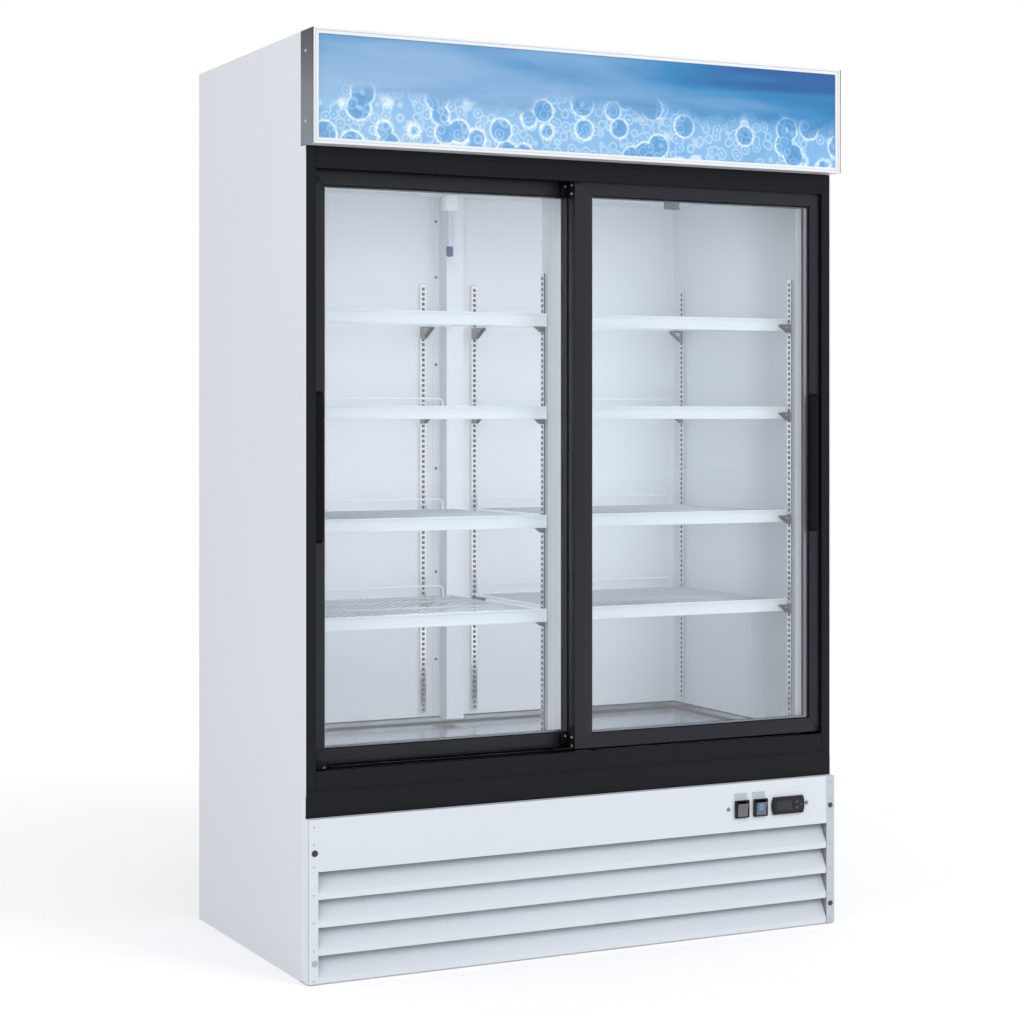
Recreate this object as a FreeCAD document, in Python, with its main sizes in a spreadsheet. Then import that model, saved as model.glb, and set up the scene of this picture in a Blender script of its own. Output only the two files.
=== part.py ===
import FreeCAD, Part
import os
import re
import Sketcher

# A two-door merchandiser refrigerator with sliding glass doors, in millimetres.
# +Z is up, the doors face -Y, and the origin is under the middle of the whole cabinet.
doc = FreeCAD.newDocument("display_refrigerator")

# Driving dimensions: name, value and what it measures.
SIZES = [
    ("width", 1344, "over the two side panels"),
    ("height", 2034, "floor to top panel"),
    ("body_depth", 676, "side panel, front edge to back edge"),
    ("sign_reach", 70, "sign face in front of the side panels"),
    ("frame_reach", 26, "door frame face in front of the side panels"),
    ("grille_reach", 44, "grille face in front of the side panels"),
    ("skin", 1.2, "painted outer sheet"),
    ("panel_return", 20, "side panel's turned-in back edge"),
    ("liner", 1.5, "inner liner sheet"),
    ("side_wall", 42, "insulated side, outside to inside"),
    ("back_wall", 36, "insulated back, outside to inside"),
    ("top_wall", 60, "insulated top, outside to inside"),
    ("floor_level", 440, "top of the cabinet floor"),
    ("floor_upstand", 14, "turned-up edge of the floor sheet"),
    ("floor_edge", 4, "thickness of that edge"),
    ("base_level", 380, "underside of the insulated floor"),
    ("cover_drop", 274, "evaporator cover below the top"),
    ("collar", 2, "white trim outside the door frame"),
    ("jamb_face", 22.5, "door frame jamb, seen from the front"),
    ("frame_depth", 90, "door frame, front to back"),
    ("frame_wall", 4, "walls of the frame's channels"),
    ("apron_height", 246, "top panel's front apron, down to the door frame"),
    ("header_height", 46, "door frame's header"),
    ("header_roof", 6, "roof over the header's channels"),
    ("seam_level", 410, "sill on top of the lower beam"),
    ("sill_level", 452, "top of the sill's lips"),
    ("sill_channel", 16, "depth of the sill's channel"),
    ("sill_shell", 3, "wall of the hollow sill"),
    ("track_rise", 14, "height of a track rib in the channel"),
    ("track_width", 5, "width of a track rib"),
    ("beam_low", 353, "lower edge of the black beam"),
    ("beam_depth", 40, "beam flanges, front to back"),
    ("beam_sheet", 2, "beam's sheet"),
    ("door_inset", 10, "front door behind the frame's face"),
    ("door_thickness", 30, "door, front to back"),
    ("door_spacing", 12, "gap between the two doors"),
    ("door_low", 457, "lower edge of the doors"),
    ("door_engage", 14, "doors inside the header's channels"),
    ("door_overlap", 32, "doors passing each other in the middle"),
    ("left_pocket", 2, "left door's edge inside its jamb"),
    ("right_pocket", 8, "right door's edge inside its jamb"),
    ("pocket_room", 3, "free room behind a closed door's edge"),
    ("pocket_side", 4, "free room beside a closed door's edge"),
    ("handle_stile", 42, "stile that carries the handle"),
    ("meeting_stile", 45, "right door's stile in the middle of the opening"),
    ("rear_stile", 31, "left door's stile in the middle of the opening"),
    ("top_rail", 44, "door's top rail"),
    ("bottom_rail", 33, "door's bottom rail"),
    ("pane", 4, "one sheet of glass"),
    ("pane_gap", 10, "between the two sheets"),
    ("glass_bite", 9, "glass inside the door frame"),
    ("glass_room", 0.2, "free room round the glass"),
    ("spacer_inset", 1, "spacer inside the edge of the glass"),
    ("spacer_width", 13, "spacer bar, seen from the front"),
    ("handle_length", 330, "pull handle"),
    ("handle_width", 22, "pull handle"),
    ("handle_rise", 9, "pull handle in front of its stile"),
    ("handle_edge", 4, "pull handle to the glass opening"),
    ("handle_level", 1100, "middle of the handles"),
    ("block_width", 49, "corner block of the left door"),
    ("block_height", 28, "corner block of the left door"),
    ("block_rise", 7, "corner block in front of its stile"),
    ("roller_radius", 10, "door roller"),
    ("roller_width", 8, "door roller"),
    ("roller_inset", 60, "roller axle to the door's edge"),
    ("roller_room", 14, "slot for a roller, front to back"),
    ("roller_slot", 34, "slot for a roller, along the door"),
    ("roller_roof", 20, "slot for a roller, upwards"),
    ("axle_radius", 2.5, "roller axle"),
    ("running_fit", 0.06, "radial play of a turning piece"),
    ("shelf_gap", 68, "between the left and right shelves"),
    ("shelf_side", 8, "shelf to the side wall"),
    ("shelf_front", 92, "shelf's front bar behind the side panels' edge"),
    ("shelf_rear_gap", 50, "shelf to the back wall"),
    ("shelf_bar", 6, "width of a shelf's edge bar"),
    ("shelf_bar_height", 10, "height of a shelf's edge bar"),
    ("shelf_wire", 4, "deck wire across its flats"),
    ("shelf_wire_pitch", 58, "between deck wires"),
    ("shelf_drop", 4, "deck below the price strip's top"),
    ("guard_rise", 26, "rear guard wire above the deck"),
    ("guard_inset", 34, "rear guard wire to the shelf's end"),
    ("guard_bend", 12, "bend of the rear guard wire"),
    ("strip_height", 30, "price strip"),
    ("strip_thickness", 4, "price strip"),
    ("shelf_level_1", 1447, "top of the first price strip"),
    ("shelf_level_2", 1234, "top of the second price strip"),
    ("shelf_level_3", 984, "top of the third price strip"),
    ("shelf_level_4", 768, "top of the fourth price strip"),
    ("pilaster_low", 468, "lower end of the shelf standards"),
    ("pilaster_length", 1072, "shelf standard"),
    ("pilaster_width", 16, "shelf standard"),
    ("pilaster_thickness", 2.5, "shelf standard"),
    ("slot_width", 7, "slot of a shelf standard"),
    ("slot_height", 4, "slot of a shelf standard"),
    ("slot_pitch", 127, "between slots"),
    ("side_standard_front", 80, "front standard behind the side panels' edge"),
    ("rear_standard_gap", 52, "rear standard to the back wall"),
    ("back_standard", 71, "back standard beside the air duct's middle"),
    ("clip_width", 14, "shelf clip"),
    ("clip_height", 28, "shelf clip"),
    ("clip_reach", 34, "shelf clip on a side standard"),
    ("clip_rest", 10, "shelf on a back clip"),
    ("clip_toe", 8, "lower end of a clip"),
    ("duct_offset", -30, "air duct's middle beside the cabinet's middle"),
    ("duct_width", 47, "air duct"),
    ("duct_depth", 44, "air duct in front of the back wall"),
    ("duct_flange", 20, "air duct's fixing flanges"),
    ("post_width", 52, "centre post"),
    ("post_front", 100, "centre post behind the side panels' edge"),
    ("post_depth", 30, "centre post"),
    ("lamp_width", 20, "lamp bar"),
    ("lamp_depth", 9, "lamp bar"),
    ("lamp_ends", 70, "lamp bar to floor and cover"),
    ("probe_side", -62, "temperature probe from the middle"),
    ("probe_back", 80, "temperature probe in front of the back wall"),
    ("probe_holder", 34, "probe holder's width"),
    ("probe_drop", 40, "probe holder's height"),
    ("probe_radius", 5, "probe tube"),
    ("probe_length", 112, "probe tube"),
    ("sign_height", 245, "sign, top to bottom"),
    ("sign_face", 12, "sign's frame, seen from the front"),
    ("sign_frame_depth", 20, "sign's frame, front to back"),
    ("sign_rebate", 4, "sign's panel behind its frame's face"),
    ("sign_panel", 3, "sign's panel"),
    ("sign_bracket", 2, "sign's end bracket"),
    ("grille_flange", 23, "grille's side strip"),
    ("grille_return", 26, "grille's inner return"),
    ("band_low", 241, "lower edge of the grille's plain band"),
    ("louvre_pitch", 59.5, "between louvre blades"),
    ("louvre_slope", 46, "sloping part of a blade"),
    ("louvre_recess", 18, "top of a blade behind the grille's face"),
    ("louvre_tuck", 8, "top of a blade behind the lip above"),
    ("louvre_hem", 8, "blade's turned-in lower edge"),
    ("cheek_top", 400, "grille's side cheeks"),
    ("switch_width", 37, "rocker switch bezel"),
    ("switch_height", 41, "rocker switch bezel"),
    ("switch_rim", 5, "rocker switch bezel's border"),
    ("switch_rise", 3, "bezel in front of the grille"),
    ("switch_body", 26, "switch behind the grille"),
    ("switch_well", 13, "hollow behind a rocker"),
    ("switch_level", 293, "middle of the controls"),
    ("light_switch_margin", 262, "first switch to the right side"),
    ("cooling_switch_margin", 211, "second switch to the right side"),
    ("rocker_room", 0.5, "free room round a rocker"),
    ("rocker_tilt", 8, "rocker's rest angle"),
    ("controller_margin", 134, "controller to the right side"),
    ("controller_width", 90, "controller's face"),
    ("controller_height", 41, "controller's face"),
    ("controller_rise", 7, "controller in front of the grille"),
    ("controller_taper", 6, "controller's bevelled border"),
    ("controller_body", 46, "controller behind the grille"),
    ("controller_shrink", 9, "controller's body inside its face"),
    ("key_radius", 3, "round controller key"),
    ("key_width", 9, "controller's arrow key"),
    ("key_height", 6, "controller's arrow key"),
    ("key_depth", 4, "controller key inside the face"),
    ("key_rise", 0.8, "controller key in front of the face"),
    ("key_travel", 0.8, "controller key's stroke"),
    ("key_room", 0.15, "radial room round a key"),
    ("pan_sheet", 2, "base pan"),
    ("pan_edge", 22, "base pan's turned-up edge"),
    ("machine_cover_inset", 16, "rear machine cover in front of the back edge"),
    ("vent_height", 12, "slot of the rear machine cover"),
    ("vent_pitch", 36, "between those slots"),
    ("gland_radius", 12, "cord gland"),
    ("gland_bore", 5, "cord gland's hole"),
    ("gland_rise", 10, "cord gland behind the machine cover"),
    ("gland_margin", 132, "cord gland to the right side"),
    ("gland_level", 70, "cord gland above the floor"),
    ("pot_radius", 95, "compressor's shell"),
    ("pot_height", 175, "compressor's shell"),
    ("pot_margin", 292, "compressor to the left side"),
    ("pot_back", 430, "compressor behind the side panels' edge"),
    ("foot_height", 9, "compressor's rubber feet"),
    ("foot_radius", 14, "compressor's rubber feet"),
    ("foot_spread_x", 90, "compressor's feet from its middle"),
    ("foot_spread_y", 75, "compressor's feet from its middle"),
    ("coil_margin", 342, "condenser to the right side"),
    ("coil_width", 420, "condenser"),
    ("coil_height", 290, "condenser"),
    ("coil_depth", 60, "condenser"),
    ("coil_front", 70, "condenser behind the side panels' edge"),
    ("fin", 2, "fin of a coil"),
    ("fin_pitch", 42, "between fins"),
    ("coil_core", 22, "tube bank of a coil"),
    ("shroud_sheet", 2, "fan shroud"),
    ("fan_radius", 115, "condenser fan"),
    ("fan_gap", 6, "fan tip to its ring"),
    ("fan_hub", 22, "fan hub radius"),
    ("fan_depth", 24, "fan hub length"),
    ("fan_clear", 12, "fan behind its plate"),
    ("blade_sheet", 2, "fan blade"),
    ("shaft_radius", 4, "fan shaft"),
    ("motor_radius", 34, "fan motor"),
    ("motor_length", 58, "fan motor"),
    ("motor_gap", 6, "fan hub to its motor"),
    ("strut", 10, "motor bracket's bar"),
    ("tray_width", 300, "condensate tray"),
    ("tray_depth", 190, "condensate tray"),
    ("tray_height", 42, "condensate tray"),
    ("tray_gap", 31, "condensate tray to the back edge"),
    ("cold_fan_radius", 100, "evaporator fan"),
    ("cold_fan_back", 230, "evaporator fan behind the side panels' edge"),
    ("guard_bar", 8, "bars across the fan opening"),
    ("return_slot", 14, "return air slot of the cover"),
    ("return_length", 380, "return air slot of the cover"),
    ("return_back", 60, "return air slot to the back wall"),
    ("cover_edge", 18, "cover's turned-up edge"),
    ("cold_coil_room", 444, "cabinet wider than the evaporator"),
    ("cold_coil_depth", 170, "evaporator"),
    ("cold_coil_height", 130, "evaporator"),
    ("cold_coil_front", 390, "evaporator behind the side panels' edge"),
    ("cold_coil_foot", 24, "evaporator's end plates below its fins"),
]

sheet = doc.addObject("Spreadsheet::Sheet", "Sizes")
for row, (name, value, note) in enumerate(SIZES, start=1):
    sheet.set(f"A{row}", name)
    sheet.set(f"B{row}", str(value))
    sheet.setAlias(f"B{row}", name)
    sheet.set(f"C{row}", note)
doc.recompute()
ALIASES = {name for name, value, note in SIZES}

# Sizes and places that follow from the driving ones.
DERIVED = {
    "header_top": "(height - apron_height)",
    "header_low": "(height - apron_height - header_height)",
    "door_top": "(height - apron_height - header_height + door_engage)",
    "cover_level": "(height - cover_drop)",
    "sign_low": "(height - sign_height)",
    "shelf_depth": "(body_depth - back_wall - shelf_front - shelf_rear_gap)",
    "side_standard_rear": "(body_depth - back_wall - rear_standard_gap)",
    "tray_back": "(body_depth - tray_gap - tray_depth)",
    "pot_side": "(pot_margin - width/2)",
    "coil_side": "(width/2 - coil_margin)",
    "light_switch": "(width/2 - light_switch_margin)",
    "cooling_switch": "(width/2 - cooling_switch_margin)",
    "controller_middle": "(width/2 - controller_margin)",
    "gland_side": "(width/2 - gland_margin)",
    "vent_length": "(width/4)",
    "cold_coil_width": "(width - cold_coil_room)",
}

# Places that many pieces share, written in the sheet's names.
EDGE = "((sign_reach - body_depth)/2)"
BACK = f"({EDGE} + body_depth)"
SHELL_X = "(width/2 - skin)"
INNER_X = "(width/2 - side_wall)"
INNER_BACK = f"({BACK} - back_wall)"
INNER_TOP = "(height - top_wall)"
FRAME_FRONT = f"({EDGE} - frame_reach)"
FRAME_BACK = f"({FRAME_FRONT} + frame_depth)"
FRAME_X = "(width/2 - collar)"
JAMB_X = f"({FRAME_X} - jamb_face)"
GRILLE_FRONT = f"({EDGE} - grille_reach)"
SIGN_FRONT = f"({EDGE} - sign_reach)"
BACK_SHEET = f"({BACK} - 2*skin)"
FRONT_DOOR = f"({FRAME_FRONT} + door_inset)"
REAR_DOOR = f"({FRONT_DOOR} + door_thickness + door_spacing)"
TRACK_TOP = "(sill_level - sill_channel + track_rise)"
SHELF_LEVELS = ["shelf_level_1", "shelf_level_2", "shelf_level_3", "shelf_level_4"]

nodes = []


def spelled_out(text):
    """The text with each derived name written in the sheet's own names."""
    return re.sub(r"[a-z]\w*", lambda m: DERIVED.get(m[0], m[0]), str(text))


def formula(text):
    """The text with each of the sheet's names written as a reference to the sheet."""
    return re.sub(r"[a-z]\w*", lambda m: "Sizes." + m[0] if m[0] in ALIASES else m[0], spelled_out(text))


def value_of(text):
    return float(sheet.evalExpression(spelled_out(text)))


def bind(thing, **texts):
    for name, text in texts.items():
        thing.setExpression(name, formula(text))


def place(thing, x="0", y="0", z="0"):
    for axis, text in zip("xyz", (x, y, z)):
        thing.setExpression(f"Placement.Base.{axis}", formula(text))
    return thing


def node(label, thing):
    """Name a finished sub-part and list it."""
    thing.Label = label
    nodes.append(thing)
    return thing


def block(x, y, z):
    """A rectangular piece between two places along each axis."""
    box = doc.addObject("Part::Box", "block")
    bind(box, Length=f"({x[1]}) - ({x[0]})", Width=f"({y[1]}) - ({y[0]})", Height=f"({z[1]}) - ({z[0]})")
    return place(box, x[0], y[0], z[0])


TURNS = {
    "X": FreeCAD.Rotation(FreeCAD.Vector(0, 1, 0), 90),
    "Y": FreeCAD.Rotation(FreeCAD.Vector(1, 0, 0), -90),
    "Z": FreeCAD.Rotation(),
}


def rod(axis, start, radius, length):
    """A round piece that runs along an axis from its start."""
    cylinder = doc.addObject("Part::Cylinder", "rod")
    bind(cylinder, Radius=radius, Height=length)
    cylinder.Placement = FreeCAD.Placement(FreeCAD.Vector(), TURNS[axis])
    return place(cylinder, *start)


def wire(axis, start, across_flats, length, sides=6):
    """A many-sided wire or boss that runs along an axis from its start."""
    prism = doc.addObject("Part::Prism", "wire")
    prism.Polygon = sides
    bind(prism, Circumradius=f"({across_flats})/(2*cos(180/{sides}))", Height=length)
    prism.Placement = FreeCAD.Placement(FreeCAD.Vector(), TURNS[axis])
    return place(prism, *start)


def group(parts):
    compound = doc.addObject("Part::Compound", "group")
    compound.Links = parts
    return compound


def joined(parts):
    fuse = doc.addObject("Part::MultiFuse", "joined")
    fuse.Shapes = parts
    return fuse


def minus(base, tools):
    cut = doc.addObject("Part::Cut", "cut")
    cut.Base = base
    cut.Tool = tools[0] if len(tools) == 1 else group(tools)
    return cut


def origin_feature(body, role):
    return next(f for f in body.Origin.OriginFeatures if f.Role == role)


def outline(sketch, points):
    """Draw a closed outline whose corners are bound to the sheet."""
    first = sketch.GeometryCount
    count = len(points)
    corners = [FreeCAD.Vector(value_of(a), value_of(b), 0) for a, b in points]
    for i in range(count):
        sketch.addGeometry(Part.LineSegment(corners[i], corners[(i + 1) % count]), False)
    for i in range(count):
        sketch.addConstraint(Sketcher.Constraint("Coincident", first + i, 2, first + (i + 1) % count, 1))
    for i, (a, b) in enumerate(points):
        for kind, text, now in (("DistanceX", a, corners[i].x), ("DistanceY", b, corners[i].y)):
            index = sketch.addConstraint(Sketcher.Constraint(kind, -1, 1, first + i, 1, now))
            sketch.setExpression(f"Constraints[{index}]", formula(text))


def sketched_body(plane, outlines):
    body = doc.addObject("PartDesign::Body", "body")
    sketch = body.newObject("Sketcher::SketchObject", "profile")
    sketch.AttachmentSupport = [(origin_feature(body, plane), "")]
    sketch.MapMode = "FlatFace"
    for points in outlines:
        outline(sketch, points)
    return body, sketch


def padded(plane, outlines, start, end):
    """A profile drawn on XY, XZ or YZ and extruded along the third axis."""
    body, sketch = sketched_body(plane + "_Plane", outlines)
    pad = body.newObject("PartDesign::Pad", "pad")
    pad.Profile = sketch
    pad.Reversed = plane == "XZ"
    bind(pad, Length=f"({end}) - ({start})")
    axis = {"XY": "z", "XZ": "y", "YZ": "x"}[plane]
    return place(body, **{axis: start})


def rectangle(x, y):
    return [(x[0], y[0]), (x[1], y[0]), (x[1], y[1]), (x[0], y[1])]


def mirrored_x(text, side):
    """A place on the right half, or the same place on the left half."""
    return text if side > 0 else f"-({text})"


def span_x(near, far, side):
    """A range along X on the right half, or its mirror image."""
    return (near, far) if side > 0 else (f"-({far})", f"-({near})")


# Outer shell: painted sheets round the foamed cabinet.
def outer_shell():
    for name, side in (("left_side_panel", -1), ("right_side_panel", 1)):
        outer, inner = mirrored_x("width/2", side), mirrored_x(SHELL_X, side)
        turned = mirrored_x("width/2 - panel_return", side)
        profile = [(outer, EDGE), (outer, BACK), (turned, BACK), (turned, f"{BACK} - skin"),
                   (inner, f"{BACK} - skin"), (inner, EDGE)]
        node(name, padded("XY", [profile], "0", "height"))
    across = (f"-{SHELL_X}", SHELL_X)
    roof = block(across, (EDGE, f"{BACK} - skin"), ("height - skin", "height"))
    apron = block(across, (EDGE, f"{EDGE} + skin"), ("header_top", "height - skin"))
    node("top_panel", group([roof, apron]))
    node("back_panel", block((f"-{SHELL_X}", SHELL_X), (BACK_SHEET, f"{BACK_SHEET} + skin"),
                             ("base_level", "height - skin")))


# Insulation: foam slabs that fill the walls between shell and liner.
def insulation():
    wall_x = f"({INNER_X} + liner)"
    back = f"({INNER_BACK} + liner)"
    slabs = [block((f"-{SHELL_X}", SHELL_X), (back, BACK_SHEET), ("base_level", "height - skin"))]
    for side in (-1, 1):
        slabs.append(block(span_x(wall_x, SHELL_X, side), (f"{FRAME_BACK} + liner", back),
                           ("base_level", "height - skin")))
    across = (f"-{wall_x}", wall_x)
    slabs.append(block(across, (f"{EDGE} + skin", back), (INNER_TOP, "height - skin")))
    slabs.append(block(across, (FRAME_BACK, back), ("base_level", "floor_level - liner")))
    slabs.append(block(across, (f"{EDGE} + skin", f"{FRAME_BACK} - liner"), ("header_top", INNER_TOP)))
    node("insulation", group(slabs))


# Liner: white sheets inside the foam with flanges over its front edges, and a stainless floor
# with turned-up edges.
def inner_liner():
    wall_x = f"({INNER_X} + liner)"
    across = (f"-{INNER_X}", INNER_X)
    sheets = [block((f"-{wall_x}", wall_x), (INNER_BACK, f"{INNER_BACK} + liner"),
                    ("floor_level", INNER_TOP))]
    for side in (-1, 1):
        sheets.append(block(span_x(INNER_X, wall_x, side), (FRAME_BACK, INNER_BACK),
                            ("floor_level", INNER_TOP)))
        sheets.append(block(span_x(wall_x, SHELL_X, side), (FRAME_BACK, f"{FRAME_BACK} + liner"),
                            ("base_level", "height - skin")))
    sheets.append(block(across, (FRAME_BACK, INNER_BACK), (f"{INNER_TOP} - liner", INNER_TOP)))
    sheets.append(block(across, (f"{FRAME_BACK} - liner", FRAME_BACK), ("header_top", INNER_TOP)))
    node("liner_walls", group(sheets))
    plate = block((f"-{wall_x}", wall_x), (FRAME_BACK, f"{INNER_BACK} + liner"),
                  ("floor_level - liner", "floor_level"))
    rise = ("floor_level", "floor_level + floor_upstand")
    edges = [block(span_x(f"{INNER_X} - floor_edge", INNER_X, side), (FRAME_BACK, INNER_BACK), rise)
             for side in (-1, 1)]
    edges.append(block((f"-{INNER_X} + floor_edge", f"{INNER_X} - floor_edge"),
                       (f"{INNER_BACK} - floor_edge", INNER_BACK), rise))
    node("liner_floor", group([plate] + edges))


# Door frame: hollow black extrusions with two channels above and two track ribs below.
def door_frame():
    collars = [block(span_x(FRAME_X, "width/2", side), (FRAME_FRONT, EDGE), ("cheek_top", "header_top"))
               for side in (-1, 1)]
    node("frame_collars", group(collars))
    jambs = []
    for side, door, pocket in ((-1, REAR_DOOR, "left_pocket"), (1, FRONT_DOOR, "right_pocket")):
        face, outer = mirrored_x(JAMB_X, side), mirrored_x(FRAME_X, side)
        deep = mirrored_x(f"{JAMB_X} + {pocket} + pocket_room", side)
        near = f"{door} - pocket_side"
        far = f"{door} + door_thickness + pocket_side"
        profile = [(face, FRAME_FRONT), (outer, FRAME_FRONT), (outer, FRAME_BACK), (face, FRAME_BACK),
                   (face, far), (deep, far), (deep, near), (face, near)]
        jambs.append(padded("XY", [profile], "seam_level", "header_top"))
    node("side_jambs", group(jambs))
    front, back = FRAME_FRONT, FRAME_BACK
    middle = f"({REAR_DOOR} - door_spacing/2)"
    roof = "header_top - header_roof"
    header = [(front, "header_low"), (f"{front} + frame_wall", "header_low"), (f"{front} + frame_wall", roof),
              (f"{middle} - frame_wall/2", roof), (f"{middle} - frame_wall/2", "header_low"),
              (f"{middle} + frame_wall/2", "header_low"), (f"{middle} + frame_wall/2", roof),
              (f"{back} - frame_wall", roof), (f"{back} - frame_wall", "header_low"),
              (back, "header_low"), (back, "header_top"), (front, "header_top")]
    node("frame_header", padded("YZ", [header], f"-{JAMB_X}", JAMB_X))
    bed = "(sill_level - sill_channel)"
    sill = [(front, "seam_level"), (back, "seam_level"), (back, "sill_level"),
            (f"{back} - frame_wall", "sill_level"),
            (f"{back} - frame_wall", bed)]
    for door in (REAR_DOOR, FRONT_DOOR):
        track = f"({door} + door_thickness/2)"
        sill += [(f"{track} + track_width/2", bed), (f"{track} + track_width/2", TRACK_TOP),
                 (f"{track} - track_width/2", TRACK_TOP), (f"{track} - track_width/2", bed)]
    sill += [(f"{front} + frame_wall", bed), (f"{front} + frame_wall", "sill_level"), (front, "sill_level")]
    hollow = rectangle((f"{front} + sill_shell", f"{back} - sill_shell"),
                       ("seam_level + sill_shell", f"{bed} - sill_shell"))
    node("frame_sill", padded("YZ", [sill, hollow], f"-{JAMB_X}", JAMB_X))
    web = "beam_sheet"
    beam = [(front, "beam_low"), (f"{front} + beam_depth", "beam_low"),
            (f"{front} + beam_depth", f"beam_low + {web}"), (f"{front} + {web}", f"beam_low + {web}"),
            (f"{front} + {web}", f"seam_level - {web}"), (f"{front} + beam_depth", f"seam_level - {web}"),
            (f"{front} + beam_depth", "seam_level"), (front, "seam_level")]
    node("lower_beam", padded("YZ", [beam], f"-{FRAME_X}", FRAME_X))


# A sliding door: four mitred rails, sealed double glass, a pull handle and two rollers.
def sliding_door(name, front, left, right, left_stile, right_stile, handle_side):
    back = f"{front} + door_thickness"
    middle = f"({front} + door_thickness/2)"
    x0, x1 = f"({left} + {left_stile})", f"({right} - {right_stile})"
    z0, z1 = "(door_low + bottom_rail)", "(door_top - top_rail)"
    outer = {"a": (left, "door_low"), "b": (right, "door_low"),
             "c": (right, "door_top"), "d": (left, "door_top")}
    inner = {"a": (x0, z0), "b": (x1, z0), "c": (x1, z1), "d": (x0, z1)}
    unit = "(pane_gap/2 + pane)"
    slot = block((f"{x0} - glass_bite - glass_room", f"{x1} + glass_bite + glass_room"),
                 (f"{middle} - {unit} - glass_room", f"{middle} + {unit} + glass_room"),
                 (f"{z0} - glass_bite - glass_room", f"{z1} + glass_bite + glass_room"))
    axles, wells, rollers = [], [], []
    for centre in (f"({left} + roller_inset)", f"({right} - roller_inset)"):
        hub = f"({TRACK_TOP} + running_fit + roller_radius)"
        wells.append(block((f"{centre} - roller_slot/2", f"{centre} + roller_slot/2"),
                           (f"{middle} - roller_room/2", f"{middle} + roller_room/2"),
                           ("door_low - 1", "door_low + roller_roof")))
        axles.append(rod("Y", (centre, f"{middle} - roller_room/2", hub), "axle_radius", "roller_room"))
        wheel = rod("Y", (centre, f"{middle} - roller_width/2", hub), "roller_radius", "roller_width")
        bore = rod("Y", (centre, f"{middle} - roller_width/2 - 1", hub), "axle_radius + running_fit",
                   "roller_width + 2")
        rollers.append(minus(wheel, [bore]))
    members = []
    for first, second in ("ab", "bc", "cd", "da"):
        profile = [outer[first], outer[second], inner[second], inner[first]]
        tools = [slot] + (wells if first == "a" else [])
        members.append(minus(padded("XZ", [profile], front, back), tools))
    blocks = []
    if front == REAR_DOOR:
        for low in (f"{z0} - block_height", z1):
            blocks.append(block((f"{right} - block_width", right), (f"{front} - block_rise", front),
                                (low, f"{low} + block_height")))
    node(f"{name}_frame", group(members + axles + blocks))
    edge_x = (f"{x0} - glass_bite", f"{x1} + glass_bite")
    edge_z = (f"{z0} - glass_bite", f"{z1} + glass_bite")
    panes = [block(edge_x, (f"{middle} - {unit}", f"{middle} - pane_gap/2"), edge_z),
             block(edge_x, (f"{middle} + pane_gap/2", f"{middle} + {unit}"), edge_z)]
    node(f"{name}_glass", group(panes))
    rings = [rectangle([f"{edge_x[0]} + {step}", f"{edge_x[1]} - ({step})"],
                       [f"{edge_z[0]} + {step}", f"{edge_z[1]} - ({step})"])
             for step in ("spacer_inset", "spacer_inset + spacer_width")]
    node(f"{name}_spacer", padded("XZ", rings, f"{middle} - pane_gap/2", f"{middle} + pane_gap/2"))
    face = f"({front} - handle_rise)"
    low, high = "(handle_level - handle_length/2)", "(handle_level + handle_length/2)"
    grip = [(front, low), (face, f"{low} + handle_rise"), (face, f"{high} - handle_rise"), (front, high)]
    near = f"({x0} - handle_edge - handle_width)" if handle_side < 0 else f"({x1} + handle_edge)"
    far = f"({near} + handle_width)"
    node(f"{name}_handle", padded("YZ", [grip], near, far))
    for number, roller in enumerate(rollers, start=1):
        node(f"{name}_roller_{number}", roller)


def sliding_doors():
    sliding_door("left_door", REAR_DOOR, f"(-{JAMB_X} - left_pocket)", "(door_overlap/2)",
                 "handle_stile", "rear_stile", -1)
    sliding_door("right_door", FRONT_DOOR, "(-door_overlap/2)", f"({JAMB_X} + right_pocket)",
                 "meeting_stile", "handle_stile", 1)


# Inside fittings: air duct, centre post with its lamp, slotted standards, clips and wire shelves.
def duct_and_post():
    base = INNER_BACK
    face = f"({base} - duct_depth)"
    left, right = "(duct_offset - duct_width/2)", "(duct_offset + duct_width/2)"
    hat = [(f"{left} - duct_flange", base), (f"{left} - duct_flange", f"{base} - liner"),
           (left, f"{base} - liner"), (left, face), (right, face), (right, f"{base} - liner"),
           (f"{right} + duct_flange", f"{base} - liner"), (f"{right} + duct_flange", base),
           (f"{right} - liner", base), (f"{right} - liner", f"{face} + liner"),
           (f"{left} + liner", f"{face} + liner"), (f"{left} + liner", base)]
    low = "floor_level + floor_upstand"
    node("rear_air_duct", padded("XY", [hat], low, "cover_level"))
    front = f"({EDGE} + post_front)"
    back = f"({front} + post_depth)"
    side = "(post_width/2)"
    channel = [(f"-{side}", front), (side, front), (side, back), (f"{side} - liner", back),
               (f"{side} - liner", f"{front} + liner"), (f"-{side} + liner", f"{front} + liner"),
               (f"-{side} + liner", back), (f"-{side}", back)]
    node("centre_post", padded("XY", [channel], "floor_level", "cover_level"))


def standard_places():
    """Each standard: the wall's face, the way it looks, and its place along that wall."""
    places = []
    for side in (-1, 1):
        for along in ("side_standard_front", "side_standard_rear"):
            places.append(("x", mirrored_x(INNER_X, side), -side, f"({EDGE} + {along})"))
        places.append(("x", mirrored_x("post_width/2", side), side, f"({EDGE} + post_front + post_depth/2)"))
        places.append(("y", INNER_BACK, -1, f"(duct_offset + ({side})*back_standard)"))
    return places


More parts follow.
